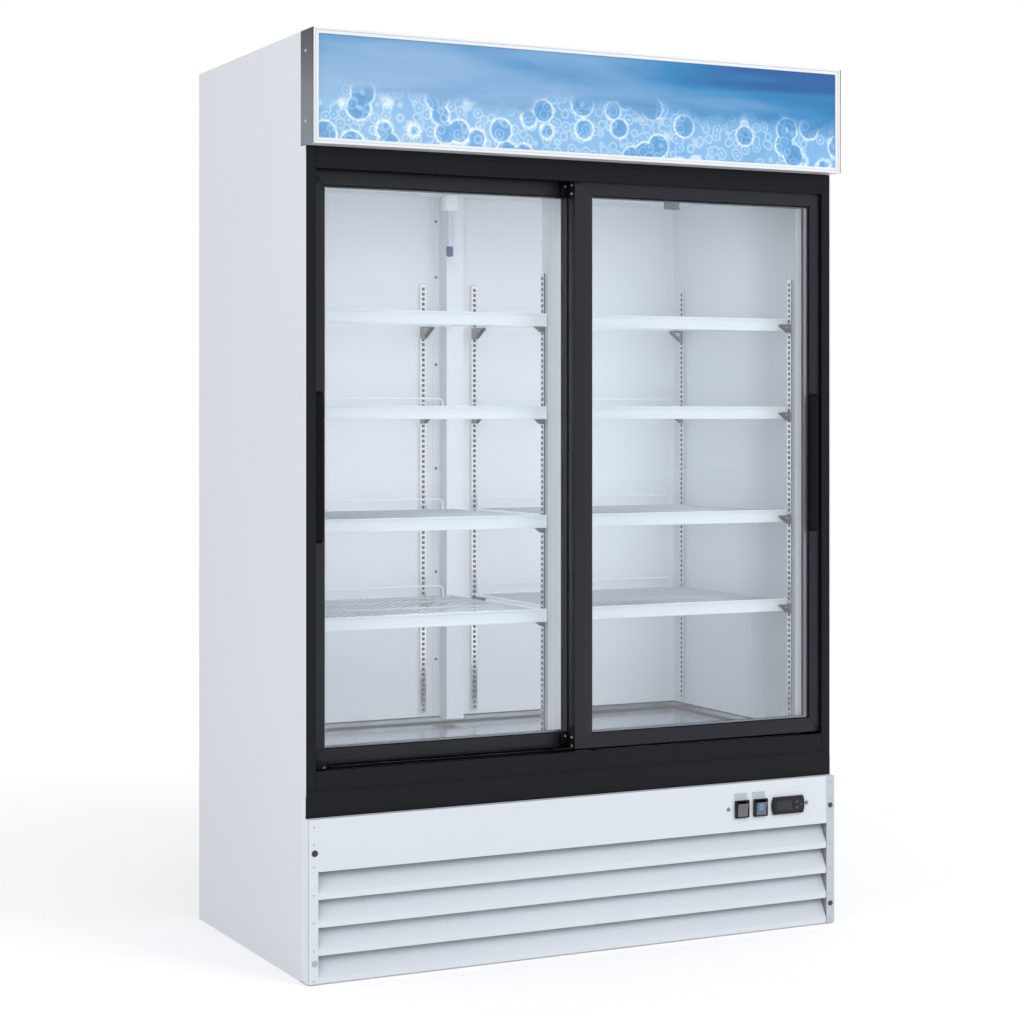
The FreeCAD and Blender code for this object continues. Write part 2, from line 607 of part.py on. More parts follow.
def standards_and_clips():
    strips, clips = [], []
    count = int((value_of("pilaster_length") - value_of("slot_height")) // value_of("slot_pitch"))
    for axis, face, way, along in standard_places():
        thick = sorted_span(face, f"{face} + ({way})*pilaster_thickness", way)
        cut = sorted_span(f"{face} + ({way})*pilaster_thickness/2",
                          f"{face} + ({way})*2*pilaster_thickness", way)
        wide = (f"{along} - pilaster_width/2", f"{along} + pilaster_width/2")
        hole = (f"{along} - slot_width/2", f"{along} + slot_width/2")
        tall = ("pilaster_low", "pilaster_low + pilaster_length")
        slots = []
        for i in range(count):
            low = f"(pilaster_low + ({i} + 1/2)*slot_pitch)"
            high = f"{low} + slot_height"
            slots.append(block(cut, hole, (low, high)) if axis == "x" else block(hole, cut, (low, high)))
        strip = block(thick, wide, tall) if axis == "x" else block(wide, thick, tall)
        strips.append(minus(strip, slots))
        reach = "clip_reach"
        if axis == "y":
            reach = f"({INNER_BACK} - pilaster_thickness - {EDGE} - shelf_front - shelf_depth + clip_rest)"
        near = f"({face} + ({way})*pilaster_thickness)"
        far = f"({near} + ({way})*{reach})"
        toe = f"({near} + ({way})*clip_toe)"
        for level in SHELF_LEVELS:
            top = f"({level} - shelf_drop - shelf_bar_height)"
            profile = [(near, top), (far, top), (far, f"{top} - clip_toe/2"), (toe, f"{top} - clip_height"),
                       (near, f"{top} - clip_height")]
            plane = "XZ" if axis == "x" else "YZ"
            clips.append(padded(plane, [profile], f"{along} - clip_width/2", f"{along} + clip_width/2"))
    node("shelf_standards", group(strips))
    node("shelf_clips", group(clips))


def sorted_span(start, end, way):
    return (start, end) if way > 0 else (end, start)


def rear_guard(x0, x1, rear):
    """The bent wire that stands behind a shelf's load."""
    left, right = f"({x0} + guard_inset)", f"({x1} - guard_inset)"
    low, top = "-shelf_drop", "(guard_rise - shelf_drop)"
    step = "(guard_bend*0.41 + shelf_wire*0.59)"
    points = []
    for end, way in ((left, 1), (right, -1)):
        run = [(end, low), (end, f"{top} - guard_bend"), (f"{end} + ({way})*guard_bend", top)]
        points += run if way > 0 else run[::-1]
    inner = []
    for end, way in ((right, -1), (left, 1)):
        foot = f"{end} + ({way})*shelf_wire"
        run = [(foot, low), (foot, f"{top} - {step} - shelf_wire"),
               (f"{end} + ({way})*({step} + shelf_wire)", f"{top} - shelf_wire")]
        inner += run if way < 0 else run[::-1]
    return padded("XZ", [points + inner], f"{rear} - shelf_wire/2", f"{rear} + shelf_wire/2")


def wire_shelf(side):
    """One welded wire shelf with the top of its price strip at zero."""
    x0, x1 = span_x("shelf_gap/2", f"{INNER_X} - shelf_side", side)
    front = f"({EDGE} + shelf_front)"
    rear = f"({front} + shelf_depth)"
    low, high = "-shelf_drop - shelf_bar_height", "-shelf_drop"
    rim = joined([
        block((x0, x1), (front, f"{front} + shelf_bar"), (low, high)),
        block((x0, x1), (f"{rear} - shelf_bar", rear), (low, high)),
        block((x0, f"{x0} + shelf_bar"), (front, rear), (low, high)),
        block((f"{x1} - shelf_bar", x1), (front, rear), (low, high)),
    ])
    clear = value_of(f"{INNER_X} - shelf_side - shelf_gap/2 - 2*shelf_bar")
    count = int(clear // value_of("shelf_wire_pitch"))
    middle = f"(({x0} + {x1})/2)"
    deck = [wire("Y", (f"{middle} + ({i} - ({count} - 1)/2)*shelf_wire_pitch", f"{front} + shelf_bar",
                       "-shelf_drop - shelf_wire/2"), "shelf_wire", "shelf_depth - 2*shelf_bar")
            for i in range(count)]
    bearers = [block((f"{x0} + shelf_bar", f"{x1} - shelf_bar"),
                     (f"{front} + shelf_depth*{third}/3 - shelf_bar/2",
                      f"{front} + shelf_depth*{third}/3 + shelf_bar/2"),
                     (low, "-shelf_drop - shelf_wire"))
               for third in (1, 2)]
    return group([joined([rim] + deck)] + bearers + [rear_guard(x0, x1, f"{rear} - shelf_bar/2")])


def shelves():
    masters = [wire_shelf(-1), wire_shelf(1)]
    strips = []
    for number, level in enumerate(SHELF_LEVELS, start=1):
        node(f"shelf_pair_{number}", place(group(masters), z=level))
        for side in (-1, 1):
            across = span_x("shelf_gap/2", f"{INNER_X} - shelf_side", side)
            front = f"({EDGE} + shelf_front)"
            strips.append(block(across, (f"{front} - strip_thickness", front),
                                (f"{level} - strip_height", level)))
    node("price_strips", group(strips))


def lamps_and_probe():
    back = f"({EDGE} + post_front + post_depth)"
    bars = [block(("-lamp_width/2", "lamp_width/2"),
                  (f"{back} - post_depth + liner", f"{back} - post_depth + liner + lamp_depth"),
                  ("floor_level + lamp_ends", "cover_level - lamp_ends"))]
    sign_middle = "((sign_low + height)/2)"
    bars.append(block((f"-{JAMB_X}", JAMB_X), (f"{EDGE} - lamp_depth", EDGE),
                      (f"{sign_middle} - lamp_width/2", f"{sign_middle} + lamp_width/2")))
    node("lamp_bars", group(bars))
    y = f"({INNER_BACK} - probe_back)"
    holder = block(("probe_side - probe_holder/2", "probe_side + probe_holder/2"),
                   (f"{y} - probe_holder/2", f"{y} + probe_holder/2"),
                   ("cover_level - probe_drop", "cover_level"))
    tube = wire("Z", ("probe_side", y, "cover_level - probe_drop - probe_length"), "2*probe_radius",
                "probe_length", 12)
    tip = wire("Z", ("probe_side", y, "cover_level - probe_drop - probe_length - probe_radius/2"),
               "1.2*probe_radius", "probe_radius", 12)
    node("temperature_probe", group([holder, joined([tube, tip])]))


# Lit sign: a sheet tray with an aluminium frame, a print panel and two end brackets.
def sign():
    ends = "(width/2 - sign_bracket)"
    brackets = [block(span_x(ends, "width/2", side), (SIGN_FRONT, EDGE), ("sign_low", "height"))
                for side in (-1, 1)]
    node("sign_brackets", group(brackets))
    back = f"({SIGN_FRONT} + sign_frame_depth)"
    outer = {"a": (f"-{ends}", "sign_low"), "b": (ends, "sign_low"),
             "c": (ends, "height"), "d": (f"-{ends}", "height")}
    x, low, high = f"({ends} - sign_face)", "(sign_low + sign_face)", "(height - sign_face)"
    inner = {"a": (f"-{x}", low), "b": (x, low), "c": (x, high), "d": (f"-{x}", high)}
    rebate = f"({SIGN_FRONT} + sign_rebate)"
    half = "(sign_face/2)"
    slot = block((f"-{x} - {half}", f"{x} + {half}"), (rebate, f"{rebate} + sign_panel"),
                 (f"{low} - {half}", f"{high} + {half}"))
    members = [minus(padded("XZ", [[outer[a], outer[b], inner[b], inner[a]]], SIGN_FRONT, back), [slot])
               for a, b in ("ab", "bc", "cd", "da")]
    node("sign_frame", group(members))
    node("sign_panel", block((f"-{x} - {half}", f"{x} + {half}"), (rebate, f"{rebate} + sign_panel"),
                             (f"{low} - {half}", f"{high} + {half}")))
    across = (f"-{ends}", ends)
    tray = [block(across, (back, EDGE), ("height - skin", "height")),
            block(across, (back, EDGE), ("sign_low", "sign_low + skin"))]
    node("sign_tray", group(tray))


# Lower front: the louvred grille with its cheeks, and the controls set into its plain band.
def front_grille():
    face, back = GRILLE_FRONT, f"({GRILLE_FRONT} + skin)"
    inner = "(width/2 - grille_flange)"
    low = "(band_low - 4*louvre_pitch)"
    plate = [("-width/2", low), (f"-{inner}", low), (f"-{inner}", "band_low"), (inner, "band_low"),
             (inner, low),
             ("width/2", low), ("width/2", "beam_low"), ("-width/2", "beam_low")]
    pieces = [padded("XZ", [plate], face, back),
              block(("-width/2", "width/2"), (face, f"{FRAME_FRONT} + beam_depth/2"),
                    ("beam_low - skin", "beam_low"))]
    for side in (-1, 1):
        pieces.append(block(span_x(inner, f"{inner} + skin", side), (face, f"{face} + grille_return"),
                            (low, "band_low")))
        cheek = [(face, low), (EDGE, low), (EDGE, "cheek_top"), (FRAME_FRONT, "cheek_top"),
                 (FRAME_FRONT, "beam_low"), (face, "beam_low")]
        pieces.append(padded("YZ", [cheek], *span_x(SHELL_X, "width/2", side)))
    for i in range(4):
        top = f"(band_low - {i}*louvre_pitch)"
        foot = f"({top} - louvre_pitch)"
        blade = [(f"{face} + louvre_recess", f"{top} + louvre_tuck"), (face, f"{top} - louvre_slope"),
                 (face, foot),
                 (f"{face} + louvre_hem", foot), (f"{face} + louvre_hem", f"{foot} + skin"),
                 (f"{face} + skin", f"{foot} + skin"), (f"{face} + skin", f"{top} - louvre_slope"),
                 (f"{face} + louvre_recess + skin", f"{top} + louvre_tuck")]
        pieces.append(padded("YZ", [blade], f"-{inner}", inner))
    holes = []
    through = (f"{face} - 1", f"{back} + 1")
    for place_x in ("light_switch", "cooling_switch"):
        holes.append(block(around(place_x, "switch_width - 2*switch_rim + 4"), through,
                           around("switch_level", "switch_height - 2*switch_rim + 4")))
    holes.append(block(around("controller_middle", "controller_width - 2*controller_shrink"), through,
                       around("switch_level", "controller_height - controller_shrink")))
    node("front_grille", minus(joined(pieces), holes))


def around(middle, size):
    return (f"{middle} - ({size})/2", f"{middle} + ({size})/2")


def rocker_switches():
    housings = []
    rockers = []
    front = f"({GRILLE_FRONT} - switch_rise)"
    inside = "(switch_width - 2*switch_rim)"
    tall = "(switch_height - 2*switch_rim)"
    axle_y = f"({GRILLE_FRONT} + switch_rise)"
    for name, middle in (("light_switch_rocker", "light_switch"),
                         ("cooling_switch_rocker", "cooling_switch")):
        bezel = block(around(middle, "switch_width"), (front, GRILLE_FRONT),
                      around("switch_level", "switch_height"))
        body = block(around(middle, f"{inside} + 4"), (GRILLE_FRONT, f"{GRILLE_FRONT} + switch_body"),
                     around("switch_level", f"{tall} + 4"))
        well = block(around(middle, inside), (f"{front} - 1", f"{GRILLE_FRONT} + switch_well"),
                     around("switch_level", tall))
        pin = rod("X", (f"{middle} - {inside}/2", axle_y, "switch_level"), "1.5", inside)
        housings += [minus(joined([bezel, body]), [well]), pin]
        half = f"({tall}/2 - 2*rocker_room - 1)"
        profile = [("-switch_rise*2.5", half), ("-switch_rise*1.8", "0"), ("-switch_rise*2.5", f"-{half}"),
                   ("switch_rise", f"-{half} + 3"), ("switch_rise*2", "0"), ("switch_rise", f"{half} - 3")]
        solid = padded("YZ", [profile], f"-{inside}/2 + rocker_room", f"{inside}/2 - rocker_room")
        bore = rod("X", (f"-{inside}/2", "0", "0"), "1.5 + running_fit", inside)
        rocker = minus(solid, [bore])
        tilted = FreeCAD.Rotation(FreeCAD.Vector(1, 0, 0), value_of("rocker_tilt"))
        rocker.Placement = FreeCAD.Placement(FreeCAD.Vector(), tilted)
        rockers.append((name, place(rocker, middle, axle_y, "switch_level")))
    node("switch_housings", group(housings))
    for name, rocker in rockers:
        node(name, rocker)


def controller():
    face = f"({GRILLE_FRONT} - controller_rise)"
    left, right = around("controller_middle", "controller_width")
    low, high = around("switch_level", "controller_height")
    bevel = [(left, GRILLE_FRONT), (f"{left} + controller_taper", face),
             (f"{right} - controller_taper", face),
             (right, GRILLE_FRONT)]
    front = padded("XY", [bevel], low, high)
    body = block(around("controller_middle", "controller_width - 2*controller_shrink - 1"),
                 (GRILLE_FRONT, f"{GRILLE_FRONT} + controller_body"),
                 around("switch_level", "controller_height - controller_shrink - 1"))
    depth = f"({face} + key_depth + key_travel)"
    holes, keys = [], []
    for level in ("switch_level + controller_height/6", "switch_level - controller_height/6"):
        holes.append(block(around("controller_middle + controller_width/4", "key_width + 2*key_room"),
                           (f"{face} - 1", depth), around(level, "key_height + 2*key_room")))
        keys.append(block(around("controller_middle + controller_width/4", "key_width"),
                          (f"{face} - key_rise", f"{face} + key_depth"), around(level, "key_height")))
    round_key = "controller_middle + controller_width*3/8"
    holes.append(rod("Y", (round_key, f"{face} - 1", "switch_level"), "key_radius + key_room",
                     "key_depth + key_travel + 1"))
    keys.append(rod("Y", (round_key, f"{face} - key_rise", "switch_level"), "key_radius",
                    "key_rise + key_depth"))
    node("controller", minus(joined([front, body]), holes))
    for number, key in enumerate(keys, start=1):
        node(f"controller_key_{number}", key)


# Machine compartment under the foamed cabinet.
def base_and_rear_cover():
    across = (f"-{SHELL_X}", SHELL_X)
    rise = ("pan_sheet", "pan_edge")
    pan = [block(across, (EDGE, BACK_SHEET), ("0", "pan_sheet")),
           block(across, (EDGE, f"{EDGE} + pan_sheet"), rise)]
    for side in (-1, 1):
        pan.append(block(span_x(f"{SHELL_X} - pan_sheet", SHELL_X, side),
                         (f"{EDGE} + pan_sheet", BACK_SHEET), rise))
    node("base_pan", group(pan))
    sheet_y = (f"{BACK} - machine_cover_inset - skin", f"{BACK} - machine_cover_inset")
    cover = block((f"-{SHELL_X} + pan_sheet", f"{SHELL_X} - pan_sheet"), sheet_y, ("pan_sheet", "base_level"))
    cuts = []
    rows = int((value_of("base_level") - 4 * value_of("vent_pitch")) // value_of("vent_pitch"))
    for column in (-1, 0, 1):
        for row in range(rows):
            low = f"(3*vent_pitch + {row}*vent_pitch)"
            cuts.append(block(around(f"({column})*(vent_length + vent_pitch*2)", "vent_length"),
                              (f"{sheet_y[0]} - 1", f"{sheet_y[1]} + 1"), (low, f"{low} + vent_height")))
    hole = rod("Y", ("gland_side", f"{sheet_y[0]} - 1", "gland_level"), "gland_bore", "skin + 2")
    node("rear_machine_cover", minus(cover, cuts + [hole]))
    flange = wire("Y", ("gland_side", sheet_y[1], "gland_level"), "2*gland_radius", "gland_rise")
    bore = rod("Y", ("gland_side", f"{sheet_y[1]} - 1", "gland_level"), "gland_bore", "gland_rise + 2")
    node("cord_gland", minus(flange, [bore]))


def compressor():
    x, y = "pot_side", f"({EDGE} + pot_back)"
    plate_low = "(pan_sheet + foot_height)"
    plate_top = f"({plate_low} + pan_sheet)"
    seam = f"({plate_top} + pot_height*0.6)"
    pot = joined([rod("Z", (x, y, plate_top), "pot_radius", "pot_height*0.6"),
                  rod("Z", (x, y, seam), "pot_radius*1.04", "pan_sheet*3"),
                  rod("Z", (x, y, f"{seam} + pan_sheet*3"), "pot_radius*0.93", "pot_height*0.3")])
    box = block((f"{x} + pot_radius*0.8", f"{x} + pot_radius*1.35"), around(y, "pot_radius*0.8"),
                (f"{plate_top} + pot_height*0.12", f"{plate_top} + pot_height*0.5"))
    plate = block(around(x, "2*foot_spread_x + 3*foot_radius"), around(y, "2*foot_spread_y + 3*foot_radius"),
                  (plate_low, plate_top))
    feet = [wire("Z", (f"{x} + ({i})*foot_spread_x", f"{y} + ({j})*foot_spread_y", "pan_sheet"),
                 "2*foot_radius", "foot_height")
            for i in (-1, 1) for j in (-1, 1)]
    node("compressor", group([joined([pot, box]), plate] + feet))


def finned_coil(x, y, z, core_z, pitch_count):
    """A tube bank with flat fins standing across it."""
    core = block(x, around(f"(({y[0]}) + ({y[1]}))/2", "coil_core"), core_z)
    fins = []
    for i in range(pitch_count + 1):
        left = f"({x[0]} + {i}*(({x[1]}) - ({x[0]}) - fin)/{pitch_count})"
        ends = z if i in (0, pitch_count) else core_z
        fins.append(block((left, f"{left} + fin"), y, ends))
    return joined([core] + fins)


def condenser():
    x = around("coil_side", "coil_width")
    front = f"({EDGE} + coil_front)"
    y = (front, f"{front} + coil_depth")
    z = ("pan_sheet", "pan_sheet + coil_height")
    count = int(value_of("coil_width") // value_of("fin_pitch"))
    node("condenser", finned_coil(x, y, z, ("2*pan_edge", "pan_sheet + coil_height"), count))
    ring = "(fan_radius + fan_gap)"
    middle_z = "(pan_sheet + coil_height/2)"
    plate_y = (y[1], f"{y[1]} + shroud_sheet")
    plate = block(x, plate_y, z)
    opening = wire("Y", ("coil_side", f"{y[1]} - 1", middle_z), f"2*{ring}", "shroud_sheet + 2", 32)
    node("fan_shroud", minus(plate, [opening]))
    fan_y = f"({plate_y[1]} + fan_clear)"
    node("condenser_fan", fan("Y", ("coil_side", fan_y, middle_z), "fan_radius"))
    motor_y = f"({fan_y} + fan_depth + motor_gap)"
    motor = rod("Y", ("coil_side", motor_y, middle_z), "motor_radius", "motor_length")
    shaft = rod("Y", ("coil_side", fan_y, middle_z), "shaft_radius", "fan_depth + motor_gap")
    legs_x = f"({ring} + 2*strut)"
    bracket = [block(around("coil_side", f"2*{legs_x} + strut"),
                     (f"{motor_y} + motor_length", f"{motor_y} + motor_length + shroud_sheet"),
                     around(middle_z, "strut"))]
    for side in (-1, 1):
        bracket.append(block(around(f"coil_side + ({side})*{legs_x}", "strut"),
                             (plate_y[1], f"{motor_y} + motor_length"), around(middle_z, "strut")))
    return [motor, shaft] + bracket


def fan(axis, start, radius):
    """A hub with five pitched blades on a running bore."""
    x, y, z = start
    hub = wire("Z", ("0", "0", "0"), "2*fan_hub", "fan_depth", 10)
    blades = []
    for i in range(5):
        blade = doc.addObject("Part::Box", "blade")
        bind(blade, Length=f"{radius}*0.96 - fan_hub/2", Width="fan_depth*2", Height="blade_sheet")
        pitch = FreeCAD.Placement(FreeCAD.Vector(0, 0, value_of("fan_depth") / 2),
                                  FreeCAD.Rotation(FreeCAD.Vector(1, 0, 0), 22))
        start_in = FreeCAD.Placement(FreeCAD.Vector(value_of("fan_hub") / 2, -value_of("fan_depth"),
                                                    -value_of("blade_sheet") / 2), FreeCAD.Rotation())
        spin = FreeCAD.Placement(FreeCAD.Vector(), FreeCAD.Rotation(FreeCAD.Vector(0, 0, 1), 72 * i))
        blade.Placement = spin * pitch * start_in
        blades.append(blade)
    bore = rod("Z", ("0", "0", "-1"), "shaft_radius + running_fit", "fan_depth + 2")
    rotor = minus(joined([hub] + blades), [bore])
    rotor.Placement = FreeCAD.Placement(FreeCAD.Vector(), TURNS[axis])
    return place(rotor, x, y, z)


def condensate_tray():
    x = around("0", "tray_width")
    y = (f"{EDGE} + tray_back", f"{EDGE} + tray_back + tray_depth")
    outside = block(x, y, ("pan_sheet", "pan_sheet + tray_height"))
    inside = block((f"{x[0]} + pan_sheet", f"{x[1]} - pan_sheet"),
                   (f"{y[0]} + pan_sheet", f"{y[1]} - pan_sheet"),
                   ("2*pan_sheet", "pan_sheet + tray_height + 1"))
    node("condensate_tray", minus(outside, [inside]))


# Cold unit above the shelves: cover, coil and fan.
def cold_unit():
    top = "(cover_level + liner)"
    x, y = (f"-{INNER_X} + 1", f"{INNER_X} - 1"), (f"{FRAME_BACK} + 1", f"{INNER_BACK} - 1")
    plate = block(x, y, ("cover_level", top))
    rise = ("cover_level", "cover_level + cover_edge")
    edges = [block((x[0], f"{x[0]} + liner"), y, rise), block((f"{x[1]} - liner", x[1]), y, rise),
             block(x, (y[0], f"{y[0]} + liner"), rise), block(x, (f"{y[1]} - liner", y[1]), rise)]
    fan_y = f"({EDGE} + cold_fan_back)"
    disc = rod("Z", ("0", fan_y, "cover_level - 1"), "cold_fan_radius + fan_gap", "liner + 2")
    reach = "(2*cold_fan_radius + 4*fan_gap)"
    bars = [block(around("0", reach), around(fan_y, "guard_bar"), ("cover_level - 2", f"{top} + 2")),
            block(around("0", "guard_bar"), around(fan_y, reach), ("cover_level - 2", f"{top} + 2"))]
    holes = [minus(disc, bars)]
    slot_y = f"({INNER_BACK} - return_back)"
    for side in (-1, 1):
        holes.append(block(around(f"({side})*({INNER_X}/2 + return_slot)", "return_length"),
                           around(slot_y, "return_slot"),
                           ("cover_level - 1", f"{top} + 1")))
    node("evaporator_cover", minus(joined([plate] + edges), holes))
    coil_x = around("0", "cold_coil_width")
    coil_y = (f"{EDGE} + cold_coil_front", f"{EDGE} + cold_coil_front + cold_coil_depth")
    count = int(value_of("cold_coil_width") // (3 * value_of("fin_pitch")))
    node("evaporator_coil", finned_coil(coil_x, coil_y, (top, f"{top} + cold_coil_foot + cold_coil_height"),
                                        (f"{top} + cold_coil_foot",
                                         f"{top} + cold_coil_foot + cold_coil_height"), count))
    fan_z = f"({top} + fan_clear)"
    node("evaporator_fan", fan("Z", ("0", fan_y, fan_z), "cold_fan_radius"))
    motor_z = f"({fan_z} + fan_depth + motor_gap)"
    motor = rod("Z", ("0", fan_y, motor_z), "motor_radius", "motor_length")
    shaft = rod("Z", ("0", fan_y, fan_z), "shaft_radius", "fan_depth + motor_gap")
    legs = "(cold_fan_radius + 4*fan_gap)"
    bracket = [block(around("0", f"2*{legs} + strut"), around(fan_y, "strut"),
                     (f"{motor_z} + motor_length", f"{motor_z} + motor_length + shroud_sheet"))]
    for side in (-1, 1):
        bracket.append(block(around(f"({side})*{legs}", "strut"), around(fan_y, "strut"),
                             (top, f"{motor_z} + motor_length")))
    return [motor, shaft] + bracket


outer_shell()
insulation()
inner_liner()
door_frame()
sliding_doors()
duct_and_post()
standards_and_clips()
shelves()
lamps_and_probe()
sign()
front_grille()
rocker_switches()
controller()
base_and_rear_cover()
compressor()
warm_motor = condenser()
condensate_tray()
cold_motor = cold_unit()
node("fan_motors", group(warm_motor + cold_motor))
doc.recompute()

failed = [thing.Name for thing in doc.Objects if {"Invalid", "Error"} & set(thing.State)]
failed += [thing.Label for thing in nodes if thing.Shape.isNull() or not thing.Shape.isValid()]
if failed:
    raise RuntimeError(f"these did not build: {failed}")
os.makedirs("parts", exist_ok=True)
for thing in nodes:
    thing.Shape.exportStep(f"parts/{thing.Label}.step")
print(len(nodes), "sub-parts written")
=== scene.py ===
import math

import bmesh
import bpy
from mathutils import Matrix, Vector


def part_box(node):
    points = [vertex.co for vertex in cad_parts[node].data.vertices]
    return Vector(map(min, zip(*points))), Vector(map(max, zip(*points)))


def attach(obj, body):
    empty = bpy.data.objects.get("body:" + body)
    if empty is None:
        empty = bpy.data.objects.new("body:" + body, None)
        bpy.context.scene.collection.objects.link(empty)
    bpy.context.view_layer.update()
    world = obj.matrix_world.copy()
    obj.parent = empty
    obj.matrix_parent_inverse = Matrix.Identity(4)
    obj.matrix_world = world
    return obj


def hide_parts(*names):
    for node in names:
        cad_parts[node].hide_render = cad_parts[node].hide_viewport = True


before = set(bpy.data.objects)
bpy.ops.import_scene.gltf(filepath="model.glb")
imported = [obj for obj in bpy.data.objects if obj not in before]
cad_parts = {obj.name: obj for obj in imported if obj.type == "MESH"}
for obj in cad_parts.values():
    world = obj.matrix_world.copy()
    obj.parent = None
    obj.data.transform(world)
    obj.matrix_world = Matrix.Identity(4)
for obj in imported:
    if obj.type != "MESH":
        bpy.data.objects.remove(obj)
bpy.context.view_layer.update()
bpy.context.scene.view_settings.view_transform = "Standard"


# Camera: a long lens at chest height in front of the cabinet's left corner.
# The picture is shifted down, so that upright edges stay parallel.
lens = bpy.data.cameras.new("camera")
lens.lens = 78.92
lens.sensor_width = 36.0
lens.shift_y = -0.0940
camera = bpy.data.objects.new("camera", lens)
camera.location = (-2.4105, -4.803, 1.2118)
camera.rotation_euler = (math.radians(90.0), 0.0, math.radians(-26.5))
bpy.context.collection.objects.link(camera)
bpy.context.scene.camera = camera


# Studio: a pale floor, a plain white surround and wide soft lamps.
# The surround shows white to the lens and to mirrors, and lights the cabinet less.
# Slim lamps inside the bays stand in for the light of the cabinet's own lamp.
class Shade:
    """A shader socket that takes part in arithmetic."""

    def __init__(self, tree, socket=None):
        self.tree = tree
        self.socket = socket

    def node(self, kind, settings=None, inputs=None, output=0):
        made = self.tree.nodes.new(kind)
        for name, value in (settings or {}).items():
            if name == "stops":
                while len(made.color_ramp.elements) < len(value):
                    made.color_ramp.elements.new(0.5)
                for element, (place, colour) in zip(made.color_ramp.elements, value):
                    element.position = place
                    element.color = colour
            else:
                setattr(made, name, value)
        for name, value in (inputs or {}).items():
            if isinstance(value, Shade):
                self.tree.links.new(value.socket, made.inputs[name])
            else:
                made.inputs[name].default_value = value
        return Shade(self.tree, made.outputs[output] if made.outputs else None)

    def maths(self, operation, first, second):
        return self.node("ShaderNodeMath", {"operation": operation}, {0: first, 1: second})

    def __add__(self, other):
        return self.maths("ADD", self, other)

    def __radd__(self, other):
        return self.maths("ADD", other, self)

    def __sub__(self, other):
        return self.maths("SUBTRACT", self, other)

    def __rsub__(self, other):
        return self.maths("SUBTRACT", other, self)

    def __mul__(self, other):
        return self.maths("MULTIPLY", self, other)

    def __rmul__(self, other):
        return self.maths("MULTIPLY", other, self)

    def __truediv__(self, other):
        return self.maths("DIVIDE", self, other)

    def __gt__(self, other):
        return self.maths("GREATER_THAN", self, other)


def finish(name):
    """A new material and the shade that its nodes start from."""
    material = bpy.data.materials.new(name)
    material.use_nodes = True
    material.node_tree.nodes.clear()
    return material, Shade(material.node_tree)


def on_object(start):
    return start.node("ShaderNodeTexCoord", output="Object")


def show(start, surface):
    start.node("ShaderNodeOutputMaterial", inputs={"Surface": surface})


def paint(start, inputs):
    """Close a material with one surface of these inputs."""
    show(start, start.node("ShaderNodeBsdfPrincipled", inputs=inputs))


def mixed(start, share, first, second):
    """A colour that goes from the first to the second as the share goes from 0 to 1."""
    return start.node("ShaderNodeMix", {"data_type": "RGBA"}, {0: share, 6: first, 7: second}, output=2)


def new_mesh(name, bm, material, smooth_below=40.0):
    """Turn a bmesh into an object at the origin, smooth but for its sharp edges."""
    bmesh.ops.recalc_face_normals(bm, faces=bm.faces)
    for face in bm.faces:
        face.smooth = True
    for edge in bm.edges:
        edge.smooth = edge.calc_face_angle(0.0) < math.radians(smooth_below)
    mesh = bpy.data.meshes.new(name)
    bm.to_mesh(mesh)
    bm.free()
    mesh.materials.append(material)
    made = bpy.data.objects.new(name, mesh)
    bpy.context.collection.objects.link(made)
    return made


def seen_directly(start):
    """1 on rays from the lens, off mirrors and through glass, 0 on rays that light the cabinet."""
    return sum((start.node("ShaderNodeLightPath", output=ray)
                for ray in ("Is Camera Ray", "Is Glossy Ray", "Is Transmission Ray")), start=0.0) > 0.5


floor_paint, start = finish("studio_floor")
spot = on_object(start)
reach = start.node("ShaderNodeVectorMath", {"operation": "LENGTH"}, {0: spot}, output="Value")
near_lift, lift_per_metre, floor_glow = 0.42, 0.18, 0.42
lift = mixed(start, seen_directly(start) * (reach * lift_per_metre + near_lift),
             (0.0, 0.0, 0.0, 1.0), (floor_glow, floor_glow, floor_glow, 1.0))
paint(start, {
    "Base Color": (0.93, 0.93, 0.93, 1.0), "Roughness": 0.85, "Specular IOR Level": 0.1,
    "Emission Color": lift, "Emission Strength": 1.0})
bm = bmesh.new()
bmesh.ops.create_grid(bm, x_segments=1, y_segments=1, size=40.0)
floor = new_mesh("studio_floor", bm, floor_paint)

world = bpy.data.worlds.new("surround")
bpy.context.scene.world = world
world.use_nodes = True
world.node_tree.nodes.clear()
start = Shade(world.node_tree)
lit = start.node("ShaderNodeBackground", inputs={"Color": (0.97, 0.98, 1.0, 1.0), "Strength": 0.62})
white = start.node("ShaderNodeBackground", inputs={"Color": (1.0, 1.0, 1.0, 1.0), "Strength": 1.0})
start.node("ShaderNodeOutputWorld", inputs={
    "Surface": start.node("ShaderNodeMixShader", inputs={0: seen_directly(start), 1: lit, 2: white})})


def soft_lamp(name, place, aim, size, watts, tint=(1.0, 1.0, 1.0), spread=180.0):
    light = bpy.data.lights.new(name, "AREA")
    light.shape = "RECTANGLE"
    light.size, light.size_y = size
    light.energy = watts
    light.spread = math.radians(spread)
    light.color = tint
    lamp = bpy.data.objects.new(name, light)
    lamp.location = place
    lamp.rotation_euler = (Vector(aim) - Vector(place)).to_track_quat("-Z", "Y").to_euler()
    lamp.visible_camera = False
    lamp.visible_glossy = False
    lamp.visible_transmission = False
    bpy.context.collection.objects.link(lamp)


